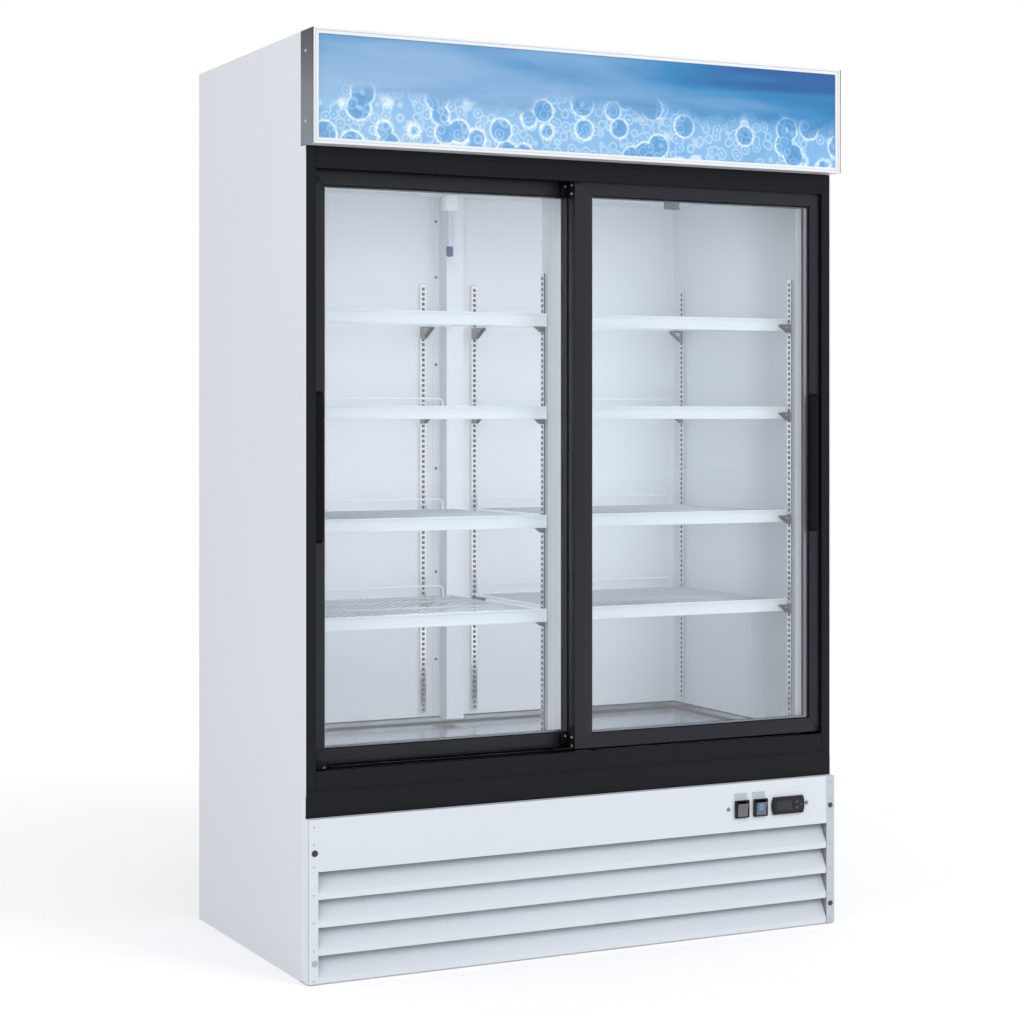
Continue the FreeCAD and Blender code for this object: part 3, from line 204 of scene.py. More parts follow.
soft_lamp("key_lamp", (1.9, -3.6, 3.1), (0.0, 0.0, 1.0), (2.6, 2.6), 72.0)
soft_lamp("fill_lamp", (-3.6, -1.6, 2.4), (0.0, 0.0, 1.05), (2.2, 2.4), 38.5)
cool_white = (0.93, 0.97, 1.0)
soft_lamp("left_bay_lamp", (-0.27, -0.200, 1.00), (-0.27, 0.3, 1.00), (0.28, 1.36), 2.45,
          (0.955, 0.98, 1.0), spread=170.0)
soft_lamp("right_bay_lamp", (0.40, -0.200, 0.98), (0.40, 0.3, 0.98), (0.22, 1.4), 1.68,
          (0.885, 0.95, 1.0), spread=125.0)
soft_lamp("post_lamp", (0.0, -0.236, 1.10), (0.0, 0.0, 1.10), (0.05, 1.3), 0.15, cool_white)
soft_lamp("jamb_lamp", (0.641, -0.268, 1.10), (0.641, 0.0, 1.10), (0.02, 1.25), 0.13, cool_white)
soft_lamp("ceiling_lamp", (0.0, -0.05, 1.735), (0.0, 0.1, 0.6), (0.9, 0.2), 0.8, cool_white)


# Outer shell: folded steel sheets with baked white enamel.
# The side sheets run the full height and wrap round the back edge.
def noise(start, spot, scale, detail):
    return start.node("ShaderNodeTexNoise", inputs={"Vector": spot, "Scale": scale, "Detail": detail})


def enamel(name, colour, roughness, peel=0.06, cloud=0.035, metallic=0.0):
    """Sprayed paint: a faint cloudiness, uneven gloss and an orange-peel skin."""
    material, start = finish(name)
    spot = on_object(start)
    drift = noise(start, spot, 1.7, 3.0)
    skin = noise(start, spot, 620.0, 2.0)
    deep = tuple(c * (1.0 - cloud) for c in colour) + (1.0,)
    pale = tuple(min(1.0, c * (1.0 + cloud)) for c in colour) + (1.0,)
    tint = mixed(start, drift, deep, pale)
    bump = start.node("ShaderNodeBump", inputs={"Height": skin, "Strength": peel, "Distance": 0.0004})
    paint(start, {"Base Color": tint, "Roughness": drift * 0.12 + (roughness - 0.06),
                  "Normal": bump, "Metallic": metallic})
    return material


def wear(node, material):
    """Give a loaded node a finish of this scene."""
    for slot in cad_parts[node].material_slots:
        slot.material = material


white_enamel = enamel("white_enamel", (0.72, 0.755, 0.80), 0.38)
for name in ("left_side_panel", "right_side_panel", "top_panel", "frame_collars"):
    wear(name, white_enamel)


# Back panel and machine cover: zinc-coated sheet, held by rows of pan-head screws.
# The zinc shows a fine spangle; the lower cover has rows of air slots.
def zinc(name, colour):
    material, start = finish(name)
    spot = on_object(start)
    spangle = start.node("ShaderNodeTexVoronoi", inputs={"Vector": spot, "Scale": 70.0}, output="Color")
    grain = start.node("ShaderNodeSeparateColor", inputs={"Color": spangle})
    dull = noise(start, spot, 6.0, 4.0)
    deep, pale = tuple(c * 0.88 for c in colour) + (1.0,), tuple(colour) + (1.0,)
    tint = mixed(start, grain, deep, pale)
    paint(start, {"Base Color": tint, "Metallic": 0.9, "Roughness": grain * 0.12 + dull * 0.1 + 0.36})
    return material


zinc_sheet = zinc("zinc_sheet", (0.66, 0.67, 0.68))
for name in ("back_panel", "rear_machine_cover", "base_pan", "fan_shroud"):
    wear(name, zinc_sheet)


def steel(name, colour, roughness):
    """Plain machined or plated steel with a fine uneven polish."""
    material, start = finish(name)
    spot = on_object(start)
    grain = noise(start, spot, 260.0, 3.0)
    paint(start, {"Base Color": tuple(colour) + (1.0,), "Metallic": 1.0,
                  "Roughness": grain * 0.16 + (roughness - 0.08)})
    return material


def screw_head(bm, place, facing, radius):
    """A pan head with a sunk middle, standing on the surface at its place."""
    turn = Vector(facing).to_track_quat("Z", "Y").to_matrix().to_4x4()
    set_down = Matrix.Translation(Vector(place) + Vector(facing) * radius * 0.22) @ turn
    head = bmesh.ops.create_cone(bm, cap_ends=True, segments=16, radius1=radius, radius2=radius * 0.8,
                                 depth=radius * 0.5, matrix=set_down)["verts"]
    top = max({face for vert in head for face in vert.link_faces if len(face.verts) > 4},
              key=lambda face: face.calc_center_median().dot(Vector(facing)))
    bmesh.ops.inset_individual(bm, faces=[top], thickness=radius * 0.4, depth=0.0)
    bmesh.ops.translate(bm, vec=Vector(facing) * -radius * 0.22, verts=top.verts)


plated = steel("plated_screws", (0.55, 0.56, 0.58), 0.34)
back_low, back_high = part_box("back_panel")
cover_low, cover_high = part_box("rear_machine_cover")
side_inset, edge_inset, pan_head, cover_share = 0.03, 0.02, 0.0042, 0.985
bm = bmesh.new()
for i in range(7):
    x = back_low[0] + side_inset + i * (back_high[0] - back_low[0] - 2 * side_inset) / 6
    for z in (back_low[2] + edge_inset, back_high[2] - edge_inset):
        screw_head(bm, (x, back_high[1], z), (0, 1, 0), pan_head)
    for z in (cover_low[2] + 0.035, cover_high[2] - edge_inset):
        screw_head(bm, (x * cover_share, cover_high[1], z), (0, 1, 0), pan_head)
for z in [back_low[2] + 0.2 + i * 0.25 for i in range(6)]:
    for x in (back_low[0] + side_inset, back_high[0] - side_inset):
        screw_head(bm, (x, back_high[1], z), (0, 1, 0), pan_head)
back_screws = new_mesh("back_screws", bm, plated)
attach(back_screws, "cabinet")


# Insulation: rigid foam poured between shell and liner.
# It fills the walls and doesn't show.
foam, start = finish("rigid_foam")
spot = on_object(start)
cells = start.node("ShaderNodeTexVoronoi", inputs={"Vector": spot, "Scale": 400.0})
tint = mixed(start, cells, (0.86, 0.80, 0.62, 1.0), (0.74, 0.68, 0.50, 1.0))
paint(start, {
    "Base Color": tint, "Roughness": 0.9,
    "Normal": start.node("ShaderNodeBump", inputs={"Height": cells, "Strength": 0.4, "Distance": 0.001})})
wear("insulation", foam)


# Liner: white coated sheet on the walls, duct, post and evaporator cover.
# The sheets are folded at their edges and screwed through their flanges.
liner_paint = enamel("liner_paint", (0.76, 0.79, 0.83), 0.42, peel=0.001)
for name in ("liner_walls", "rear_air_duct", "centre_post", "evaporator_cover"):
    wear(name, liner_paint)
duct_low, duct_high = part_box("rear_air_duct")
flange_face, flange_inset = duct_high[1] - 0.0015, 0.010
bm = bmesh.new()
for z in (0.60, 0.82, 1.08, 1.34, 1.56, 1.70):
    for x in (duct_low[0] + flange_inset, duct_high[0] - flange_inset):
        screw_head(bm, (x, flange_face, z), (0, -1, 0), 0.0040)
duct_screws = new_mesh("duct_screws", bm, steel("duct_screw", (0.20, 0.205, 0.215), 0.34))
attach(duct_screws, "cabinet")


# Cabinet floor: stainless sheet with its edges turned up.
# Its brushed grain runs from side to side, and dark sealant closes its joints with the walls.
def rounded(bm, edges, radius, steps):
    bmesh.ops.bevel(bm, geom=edges, offset=radius, affect="EDGES", segments=steps, profile=0.5, material=-1)


def slab(bm, low, high, edge=0.0, steps=2):
    """A block between two corners, with its edges rounded."""
    low, high = Vector(low), Vector(high)
    shape = Matrix.Translation((low + high) / 2) @ Matrix.Diagonal((*(high - low), 1.0))
    verts = bmesh.ops.create_cube(bm, size=1.0, matrix=shape)["verts"]
    if edge:
        edges = list({e for v in verts for e in v.link_edges})
        rounded(bm, edges, edge, steps)


def drawn(bm, outline, along, edge=0.0, steps=2):
    """An outline drawn out to a bar, with its edges rounded."""
    face = bm.faces.new([bm.verts.new(point) for point in outline])
    grown = bmesh.ops.extrude_face_region(bm, geom=[face])["geom"]
    moved = [item for item in grown if isinstance(item, bmesh.types.BMVert)]
    bmesh.ops.translate(bm, vec=along, verts=moved)
    if edge:
        edges = list({e for v in list(face.verts) + moved for e in v.link_edges})
        rounded(bm, edges, edge, steps)


brushed, start = finish("brushed_floor")
spot = on_object(start)
stretched = start.node("ShaderNodeMapping", inputs={"Vector": spot, "Scale": (6.0, 900.0, 900.0)})
grain = noise(start, stretched, 1.0, 3.0)
tint = mixed(start, grain, (0.40, 0.45, 0.52, 1.0), (0.52, 0.58, 0.66, 1.0))
paint(start, {"Base Color": tint, "Metallic": 1.0, "Roughness": grain * 0.16 + 0.10})
wear("liner_floor", brushed)
floor_low, floor_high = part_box("liner_floor")
edge_top, upstand, hair = floor_high[2], 0.014, 0.0001
wall_x, wall_y, front_y = 0.630, 0.337, floor_low[1]
seal_grey = enamel("seal_grey", (0.030, 0.030, 0.032), 0.5)
bm = bmesh.new()
for base, bead in ((edge_top, 0.0032), (edge_top - upstand, 0.0048)):
    slab(bm, (-wall_x, wall_y - bead, base), (wall_x, wall_y - hair, base + bead), 0.0006)
    for side in (-1, 1):
        x = sorted((side * (wall_x - hair), side * (wall_x - bead)))
        slab(bm, (x[0], front_y, base), (x[1], wall_y - bead, base + bead), 0.0006)
floor_seal = new_mesh("floor_seal", bm, seal_grey)
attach(floor_seal, "cabinet")


# Door frame: black extruded profiles with a satin powder coat.
# Jambs, header and sill hold the doors' channels; the beam below closes the cabinet.
# Thin dark rubber strips at the joints are painted shade, for the shadow in the gaps where the profiles
# meet.
def black_coat(name, colour, roughness, shine=0.25):
    material, start = finish(name)
    spot = on_object(start)
    drift = noise(start, spot, 3.0, 4.0)
    grit = noise(start, spot, 1500.0, 2.0)
    deep, pale = tuple(c * 0.85 for c in colour) + (1.0,), tuple(c * 1.15 for c in colour) + (1.0,)
    tint = mixed(start, drift, deep, pale)
    bump = start.node("ShaderNodeBump", inputs={"Height": grit, "Strength": 0.08, "Distance": 0.0002})
    paint(start, {
        "Base Color": tint, "Roughness": grit * 0.1 + drift * 0.08 + (roughness - 0.09), "Normal": bump,
        "Specular IOR Level": shine, "Specular Tint": (0.80, 0.88, 1.0, 1.0)})
    return material


frame_coat = black_coat("frame_coat", (0.0058, 0.0064, 0.0084), 0.38, 0.19)
for name in ("side_jambs", "frame_header", "frame_sill", "lower_beam"):
    wear(name, frame_coat)
gasket_rubber = black_coat("gasket_rubber", (0.006, 0.006, 0.007), 0.6, 0.15)
beam_low, beam_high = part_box("lower_beam")
header_low, header_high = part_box("frame_header")
sill_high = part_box("frame_sill")[1]
frame_front, jamb_inner, seam_half = beam_low[1], 0.6475, 0.0013
seam_y = (frame_front - 0.0002, frame_front + 0.0010)
# Painted shade: dark strips along the joints stand in for the shadow in the gaps between profiles.
bm = bmesh.new()
slab(bm, (beam_low[0] + 0.001, seam_y[0], beam_high[2] - seam_half),
     (beam_high[0] - 0.001, seam_y[1], beam_high[2] + seam_half))
for side in (-1, 1):
    for z in ((beam_high[2], sill_high[2]), (header_low[2], header_high[2])):
        slab(bm, (side * jamb_inner - seam_half, seam_y[0], z[0]),
             (side * jamb_inner + seam_half, seam_y[1], z[1]))
seam_shadows = new_mesh("frame_seam_shadows", bm, gasket_rubber)
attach(seam_shadows, "cabinet")


# Door stop: a rubber wedge at the left end of the front track, held by one screw.
# The front door meets it when it is pushed fully open.
dark_screw = steel("dark_screw", (0.10, 0.10, 0.11), 0.4)
stop_x, stop_y = (-0.6465, -0.6170), (-0.3150, -0.2930)
stop_z, nose = (sill_high[2] - 0.0015, sill_high[2] + 0.028), 0.014
bm = bmesh.new()
drawn(bm, [(stop_x[0], stop_y[0], stop_z[0]), (stop_x[1], stop_y[0], stop_z[0]),
           (stop_x[1], stop_y[0], stop_z[0] + nose), (stop_x[0], stop_y[0], stop_z[1])],
      (0.0, stop_y[1] - stop_y[0], 0.0), 0.0018, 3)
stop = new_mesh("door_stop", bm, gasket_rubber)
bm = bmesh.new()
screw_head(bm, (stop_x[1] - 0.007, stop_y[0], stop_z[0] + 0.008), (0, -1, 0), 0.0045)
stop_screw = new_mesh("door_stop_screw", bm, dark_screw)
for piece in (stop, stop_screw):
    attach(piece, "cabinet")


# Sliding doors: four mitred black profiles round a sealed double glass unit.
# The left door runs behind the right one and has screwed blocks at its inner corners.
# A metal bar with dark sides keeps the two panes apart.
def mitred_ring(bm, x, z, inner_x, inner_z, front, depth, edge):
    """Four bars that meet at mitred corners, drawn back from their front face."""
    def corners(x, z):
        return [(x[0], z[0]), (x[1], z[0]), (x[1], z[1]), (x[0], z[1])]

    outer, inner = corners(x, z), corners(inner_x, inner_z)
    for i in range(4):
        j = (i + 1) % 4
        outline = [(a, front, b) for a, b in (outer[i], outer[j], inner[j], inner[i])]
        drawn(bm, outline, (0.0, depth, 0.0), edge)


def shrunk(span, by):
    return (span[0] + by, span[1] - by)


door_coat = black_coat("door_coat", (0.0125, 0.0132, 0.0160), 0.34, 0.31)

clear_glass, start = finish("clear_glass")
shadow = start.node("ShaderNodeLightPath", output="Is Shadow Ray")
pane = start.node("ShaderNodeBsdfPrincipled", inputs={
    "Base Color": (0.99, 0.995, 1.0, 1.0), "Roughness": 0.0, "IOR": 1.45, "Transmission Weight": 1.0})
open_air = start.node("ShaderNodeBsdfTransparent", inputs={"Color": (0.985, 0.99, 1.0, 1.0)})
show(start, start.node("ShaderNodeMixShader", inputs={0: shadow, 1: pane, 2: open_air}))

spacer_bar, start = finish("spacer_bar")
spot = on_object(start)
facing = start.node("ShaderNodeTexCoord", output="Normal")
frontal = start.node("ShaderNodeSeparateXYZ", inputs={"Vector": facing}, output="Y")
grain = noise(start, spot, 300.0, 2.0)
tint = mixed(start, frontal * frontal, (0.012, 0.012, 0.013, 1.0), (0.62, 0.66, 0.72, 1.0))
paint(start, {"Base Color": tint, "Roughness": grain * 0.16 + 0.3})

handle_grip = black_coat("handle_grip", (0.0035, 0.0035, 0.004), 0.45, 0.12)
roller_nylon = black_coat("roller_nylon", (0.020, 0.020, 0.021), 0.5)

bite, right_bite, rail_depth = 0.009, 0.003, 0.030
block_width, block_height, block_rise = 0.049, 0.028, 0.007
lip, tuck, gasket_depth = 0.0022, 0.001, 0.0021
for body, handle_left in (("left_door", True), ("right_door", False)):
    low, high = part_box(f"{body}_spacer")
    front = (low[1] + high[1]) / 2 - rail_depth / 2
    frame_low, frame_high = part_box(f"{body}_frame")
    x, z = (frame_low[0], frame_high[0]), (frame_low[2], frame_high[2])
    glass_low, glass_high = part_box(f"{body}_glass")
    inner_x = (glass_low[0] + bite, glass_high[0] - right_bite)
    inner_z = (glass_low[2] + bite, glass_high[2] - bite)
    bm = bmesh.new()
    mitred_ring(bm, x, z, inner_x, inner_z, front, rail_depth, 0.0005)
    profile = new_mesh(f"{body}_profiles", bm, door_coat)
    pieces = [profile]
    if handle_left:
        bm = bmesh.new()
        for base in (inner_z[0] - block_height, inner_z[1]):
            slab(bm, (x[1] - block_width, front - block_rise, base),
                 (x[1], front - hair, base + block_height), 0.0012)
        pieces.append(new_mesh(f"{body}_blocks", bm, handle_grip))
    for piece in pieces:
        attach(piece, body)
        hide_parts(f"{body}_frame")

    bm = bmesh.new()
    for face_y in (glass_low[1] - gasket_depth - hair, glass_high[1] + hair):
        mitred_ring(bm, shrunk(inner_x, -tuck), shrunk(inner_z, -tuck), shrunk(inner_x, lip),
                    shrunk(inner_z, lip), face_y, gasket_depth, 0.0006)
    gasket = new_mesh(f"{body}_gaskets", bm, gasket_rubber)
    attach(gasket, body)

    wear(f"{body}_glass", clear_glass)
    wear(f"{body}_spacer", spacer_bar)

    bm = bmesh.new()
    if handle_left:
        for base in (inner_z[0] - block_height, inner_z[1]):
            for dx, dz in ((0.010, 0.021), (0.040, 0.021), (0.040, 0.006)):
                screw_head(bm, (x[1] - block_width + dx, front - block_rise, base + dz), (0, -1, 0), 0.0028)
    else:
        for edge_z in (inner_z[1] + 0.004, inner_z[1] + 0.024, inner_z[0] - 0.028, inner_z[0] - 0.008):
            screw_head(bm, (x[0], front + rail_depth / 2, edge_z), (-1, 0, 0), 0.0034)
    corner_screws = new_mesh(f"{body}_corner_screws", bm, plated)
    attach(corner_screws, body)

    # Pull handle: a moulded black bar bonded to the door's outer stile.
    # Its ends slope into the stile, and a finger groove runs along the glass side.
    low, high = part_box(f"{body}_handle")
    rise, groove_rim, groove_depth = high[1] - low[1], 0.0016, 0.006
    bm = bmesh.new()
    outline = [(low[0], high[1], low[2]), (low[0], low[1], low[2] + rise),
               (low[0], low[1], high[2] - rise), (low[0], high[1], high[2])]
    drawn(bm, outline, (high[0] - low[0], 0.0, 0.0), 0.0022, 3)
    faces = [f for f in bm.faces if abs(f.normal.x) > 0.9 and f.calc_area() > 0.0015]
    side = 1 if handle_left else -1
    scoop = [f for f in faces if f.calc_center_median().x * side > (low[0] + high[0]) / 2 * side]
    bmesh.ops.inset_region(bm, faces=scoop, thickness=groove_rim, depth=0.0)
    bmesh.ops.translate(bm, vec=(-side * groove_depth, 0.0, 0.0),
                        verts=list({v for f in scoop for v in f.verts}))
    handle = new_mesh(f"{body}_grip", bm, handle_grip)
    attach(handle, body)
    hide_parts(f"{body}_handle")
    for number in (1, 2):
        wear(f"{body}_roller_{number}", roller_nylon)


# Shelf standards: rolled steel channels with a slot every half inch, fixed to the walls.
# Silver paint on steel; a dark block behind the slots is painted shade for the hollow of the channel.
standard_paint = enamel("standard_paint", (0.86, 0.88, 0.91), 0.20, metallic=1.0)
channel_shade = enamel("channel_shade", (0.17, 0.175, 0.185), 0.5, metallic=0.4)
standard_low, standard_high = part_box("shelf_standards")
standard_z = (standard_low[2], standard_high[2])
inner_x, inner_back = standard_high[0], standard_high[1]
post_low, post_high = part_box("centre_post")
duct_middle = (duct_low[0] + duct_high[0]) / 2
edge_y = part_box("left_side_panel")[0][1]
side_y = (edge_y + 0.080, inner_back - 0.052)
post_y = (post_low[1] + post_high[1]) / 2
strip_half, strip_thick, slot_half, slot_tall, slot_pitch = 0.008, 0.0072, 0.0042, 0.0076, 0.0127
standard_sheet, duct_offset = 0.0012, 0.071
web_back = strip_thick - standard_sheet


def standard(bm, across, out, base):
    """One channel: two rails and the webs between its slots. across and out are unit vectors."""
    across, out, base = Vector(across), Vector(out), Vector(base)

    def strip(a0, a1, d0, d1, z0, z1):
        corners = [base + across * a + out * d for a in (a0, a1) for d in (d0, d1)]
        low = [min(c[i] for c in corners) for i in (0, 1)]
        high = [max(c[i] for c in corners) for i in (0, 1)]
        slab(bm, (*low, z0), (*high, z1))

    low, high = standard_z
    for sign in (-1, 1):
        strip(sign * strip_half, sign * slot_half, web_back, strip_thick, low, high)
        strip(sign * strip_half, sign * (strip_half - standard_sheet), 0.0, web_back, low, high)
    count = int((high - low) / slot_pitch)
    for i in range(count + 1):
        start_z = low if i == 0 else low + (i - 0.75) * slot_pitch + slot_tall
        end_z = high if i == count else low + (i + 0.25) * slot_pitch
        strip(-slot_half, slot_half, web_back, strip_thick, start_z, end_z)


standard_spots = [((1, 0, 0), (0, -1, 0), (duct_middle - duct_offset, inner_back, 0.0)),
                  ((1, 0, 0), (0, -1, 0), (duct_middle + duct_offset, inner_back, 0.0))]
for side in (-1, 1):
    for y in side_y:
        standard_spots.append(((0, 1, 0), (-side, 0, 0), (side * inner_x, y, 0.0)))
    standard_spots.append(((0, 1, 0), (side, 0, 0), (side * post_high[0], post_y, 0.0)))
bm, slot_shade_mesh = bmesh.new(), bmesh.new()
for across, out, base in standard_spots:
    standard(bm, across, out, base)
    # Painted shade: a dark block fills the channel behind the slots.
    corner = Vector(base) + Vector(across) * slot_half + Vector(out) * strip_thick * 0.6
    ends = [Vector(base) - Vector(across) * slot_half, corner]
    slab(slot_shade_mesh, (*[min(v[i] for v in ends) for i in (0, 1)], standard_z[0] + 0.004),
         (*[max(v[i] for v in ends) for i in (0, 1)], standard_z[1] - 0.004))
standards = new_mesh("slotted_standards", bm, standard_paint)
slot_shade = new_mesh("standard_slot_shade", slot_shade_mesh, channel_shade)
for piece in (standards, slot_shade):
    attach(piece, "cabinet")
    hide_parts("shelf_standards")


# Shelf clips: folded steel, a back plate on the standard and two webs under a flat shelf seat.
# Bare grey metal, darker than the standards; those beside the price strips are smaller.
clip_metal = enamel("clip_metal", (0.32, 0.325, 0.335), 0.34, metallic=0.8)
shelf_tops = [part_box(f"shelf_pair_{n}")[0][2] for n in (1, 2, 3, 4)]
clip_half, clip_drop, sheet_steel = 0.007, 0.028, 0.0016
rear_reach = inner_back - strip_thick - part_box("shelf_pair_1")[1][1] + 0.010
bm = bmesh.new()
for across, out, base in standard_spots:
    across, out = Vector(across), Vector(out)
    if abs(out.y) > 0.5:
        reach, drop = rear_reach, clip_drop
        outlines = [[(0.0, 0.0), (reach, 0.0), (reach, 0.004), (0.008, drop), (0.0, drop)]]
    else:
        beside_strip = abs(base[0]) == inner_x and base[1] == side_y[0]
        reach, drop = (0.026, 0.021) if beside_strip else (0.034, clip_drop)
        outlines = [[(0.0, 0.0), (reach, 0.0), (reach, 0.004), (0.0, 0.004)],
                    [(reach - 0.009, 0.004), (reach, 0.004), (0.004, drop), (0.0, drop),
                     (0.0, drop - 0.006)]]
    for top in shelf_tops:
        root = Vector(base) + out * strip_thick + Vector((0.0, 0.0, top))
        for sign in (-1, 1):
            web = root + across * (sign * clip_half - (sheet_steel if sign > 0 else 0.0))
            for outline in outlines:
                drawn(bm, [web + out * a - Vector((0, 0, b)) for a, b in outline], across * sheet_steel)
        corner = root - across * clip_half
        for length, depth in ((reach, sheet_steel), (sheet_steel, drop)):
            under = Vector((0, 0, depth))
            drawn(bm, [corner, corner + out * length, corner + out * length - under, corner - under],
                  across * clip_half * 2)
clips = new_mesh("folded_clips", bm, clip_metal)
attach(clips, "cabinet")
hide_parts("shelf_clips")


# Shelves: round steel wires welded to a rim and three bearers, dipped in white plastic.
# A bent guard wire stands along the back of each.
def wire_run(bm, begin, end, radius, sides=8):
    begin, end = Vector(begin), Vector(end)
    turn = (end - begin).to_track_quat("Z", "Y").to_matrix().to_4x4()
    bmesh.ops.create_cone(bm, cap_ends=True, segments=sides, radius1=radius, radius2=radius,
                          depth=(end - begin).length, matrix=Matrix.Translation((begin + end) / 2) @ turn)


def bent_wire(bm, begin, heading, moves, radius, sides=8):
    """A wire of straight runs and quarter bends: each move is a length, a new heading and a bend radius."""
    place, heading = Vector(begin), Vector(heading)
    turn = heading.to_track_quat("Z", "Y").to_matrix().to_4x4()
    verts = bmesh.ops.create_circle(bm, segments=sides, radius=radius,
                                    matrix=Matrix.Translation(place) @ turn)["verts"]
    edges = list({e for v in verts for e in v.link_edges})
    ends = list(edges)
    for length, toward, bend in moves:
        grown = bmesh.ops.extrude_edge_only(bm, edges=edges)["geom"]
        edges = [g for g in grown if isinstance(g, bmesh.types.BMEdge)]
        verts = [g for g in grown if isinstance(g, bmesh.types.BMVert)]
        bmesh.ops.translate(bm, vec=heading * length, verts=verts)
        place += heading * length
        if toward:
            toward = Vector(toward)
            centre = place + toward * bend
            turned = bmesh.ops.spin(bm, geom=edges + verts, cent=centre, axis=heading.cross(toward),
                                    angle=math.radians(90.0), steps=5, use_duplicate=False)["geom_last"]
            edges = [g for g in turned if isinstance(g, bmesh.types.BMEdge)]
            place = centre + heading * bend
            heading = toward
    bmesh.ops.holes_fill(bm, edges=ends + edges, sides=0)


shelf_coat = enamel("shelf_coat", (0.84, 0.87, 0.90), 0.34, peel=0.05)
# Deck wires: the same white coat as the rims, painted grey as painted shade for the shaded deck.
deck_shaded_coat = enamel("deck_shaded_coat", (0.535, 0.575, 0.625), 0.36, peel=0.05)
shelf_low, shelf_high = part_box("shelf_pair_1")
gap_half, rim_height = 0.034, 0.010
rim_radius, bearer_radius, wire_radius, wire_inset = 0.003, 0.0026, 0.00125, 0.012
wire_count, guard_inset, guard_rise, guard_bend = 33, 0.034, 0.026, 0.012
for number in (1, 2, 3, 4):
    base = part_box(f"shelf_pair_{number}")[0][2]
    deck, rim_z, bearer_z = base + rim_height, base + 0.0045, base + 0.0038
    wire_z = deck - wire_radius
    bm, grid = bmesh.new(), bmesh.new()
    for side in (-1, 1):
        x = sorted((side * gap_half, side * shelf_high[0]))
        y = (shelf_low[1], shelf_high[1])
        for line in shrunk(y, rim_radius):
            wire_run(bm, (x[0], line, rim_z), (x[1], line, rim_z), rim_radius, 10)
        for line in shrunk(x, rim_radius):
            wire_run(bm, (line, y[0], rim_z), (line, y[1], rim_z), rim_radius, 10)
        for share in (0.18, 0.5, 0.82):
            line = y[0] + (y[1] - y[0]) * share
            wire_run(bm, (x[0], line, bearer_z), (x[1], line, bearer_z), bearer_radius)
        for i in range(wire_count):
            line = x[0] + wire_inset + i * (x[1] - x[0] - 2 * wire_inset) / (wire_count - 1)
            wire_run(grid, (line, y[0] + 0.001, wire_z), (line, y[1] - 0.001, wire_z), wire_radius)
        guard_x = shrunk(x, guard_inset)
        bent_wire(bm, (guard_x[0], y[1] - 0.003, deck - 0.006), (0, 0, 1),
                  [(guard_rise - guard_bend + 0.004, (1, 0, 0), guard_bend),
                   (guard_x[1] - guard_x[0] - 2 * guard_bend, (0, 0, -1), guard_bend),
                   (guard_rise - guard_bend + 0.004, None, 0.0)], 0.002)
    shelf = new_mesh(f"shelf_rims_{number}", bm, shelf_coat)
    wires = new_mesh(f"shelf_wires_{number}", grid, deck_shaded_coat)
    for piece in (shelf, wires):
        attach(piece, "cabinet")
        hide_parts(f"shelf_pair_{number}")


# Price strips: extruded label holders of milky plastic, clipped to the shelves' front wires.
# Each is one profile, with a rolled lip above and below its flat label face.
strip_plastic_glow, start = finish("strip_plastic_glow")
spot = on_object(start)
drift = noise(start, spot, 5.0, 2.0)
tint = mixed(start, drift, (0.80, 0.90, 0.98, 1.0), (0.86, 0.94, 1.0, 1.0))
# The faint glow is painted light: it stands in for the bay lamps shining through the milky plastic.
paint(start, {
    "Base Color": tint, "Roughness": drift * 0.1 + 0.16,
    "Emission Color": tint, "Emission Strength": 0.265})
strip_low, strip_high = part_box("price_strips")
strip_height, lip_height, lip_foot, sunk = 0.030, 0.004, 0.005, 0.0016
bm = bmesh.new()
for top in shelf_tops:
    level = top + rim_height + 0.004
    for side in (-1, 1):
        x = sorted((side * gap_half, side * shelf_high[0]))
        y = (strip_low[1], strip_high[1])
        foot = level - strip_height
        section = [(y[1], level), (y[0], level), (y[0], level - lip_height),
                   (y[0] + sunk, level - lip_foot), (y[0] + sunk, foot + lip_foot),
                   (y[0], foot + lip_height), (y[0], foot), (y[1], foot)]
        drawn(bm, [(x[0], a, b) for a, b in section], (x[1] - x[0], 0.0, 0.0), 0.0005, 1)
strips = new_mesh("label_strips", bm, strip_plastic_glow)
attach(strips, "cabinet")
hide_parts("price_strips")


# Lamps: slim bars of white diodes under a milky cover.
# One stands in the centre post, one lights the sign from behind.
lamp_cover, start = finish("lamp_cover")
spot = on_object(start)
dots = start.node("ShaderNodeTexWave", {"bands_direction": "Z"}, {"Vector": spot, "Scale": 18.0})
tint = mixed(start, dots, (0.85, 0.90, 0.95, 1.0), (1.0, 1.0, 1.0, 1.0))
paint(start, {"Base Color": tint, "Roughness": 0.4, "Emission Color": tint, "Emission Strength": 2.0})
wear("lamp_bars", lamp_cover)


# Temperature probe: a white moulded holder under the cover, with a pale plastic tube.
# The blue sensor sits in the tube's lower end.
holder_low, holder_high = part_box("temperature_probe")
probe_x = (holder_low[0] + holder_high[0]) / 2
probe_y = (holder_low[1] + holder_high[1]) / 2
holder_base, probe_foot = holder_high[2] - 0.040, holder_low[2]
probe_white = enamel("probe_white", (0.84, 0.86, 0.88), 0.45)
probe_grey = enamel("probe_grey", (0.60, 0.65, 0.71), 0.25)
probe_blue = enamel("probe_blue", (0.035, 0.080, 0.22), 0.35)
bm = bmesh.new()
slab(bm, (holder_low[0], holder_low[1], holder_base), holder_high, 0.004, 3)
holder = new_mesh("probe_holder", bm, probe_white)
bm = bmesh.new()
wire_run(bm, (probe_x, probe_y, probe_foot + 0.022), (probe_x, probe_y, holder_base + 0.002), 0.0078, 24)
tube = new_mesh("probe_tube", bm, probe_grey)
bm = bmesh.new()
wire_run(bm, (probe_x, probe_y, probe_foot + 0.001), (probe_x, probe_y, probe_foot + 0.029), 0.0088, 24)
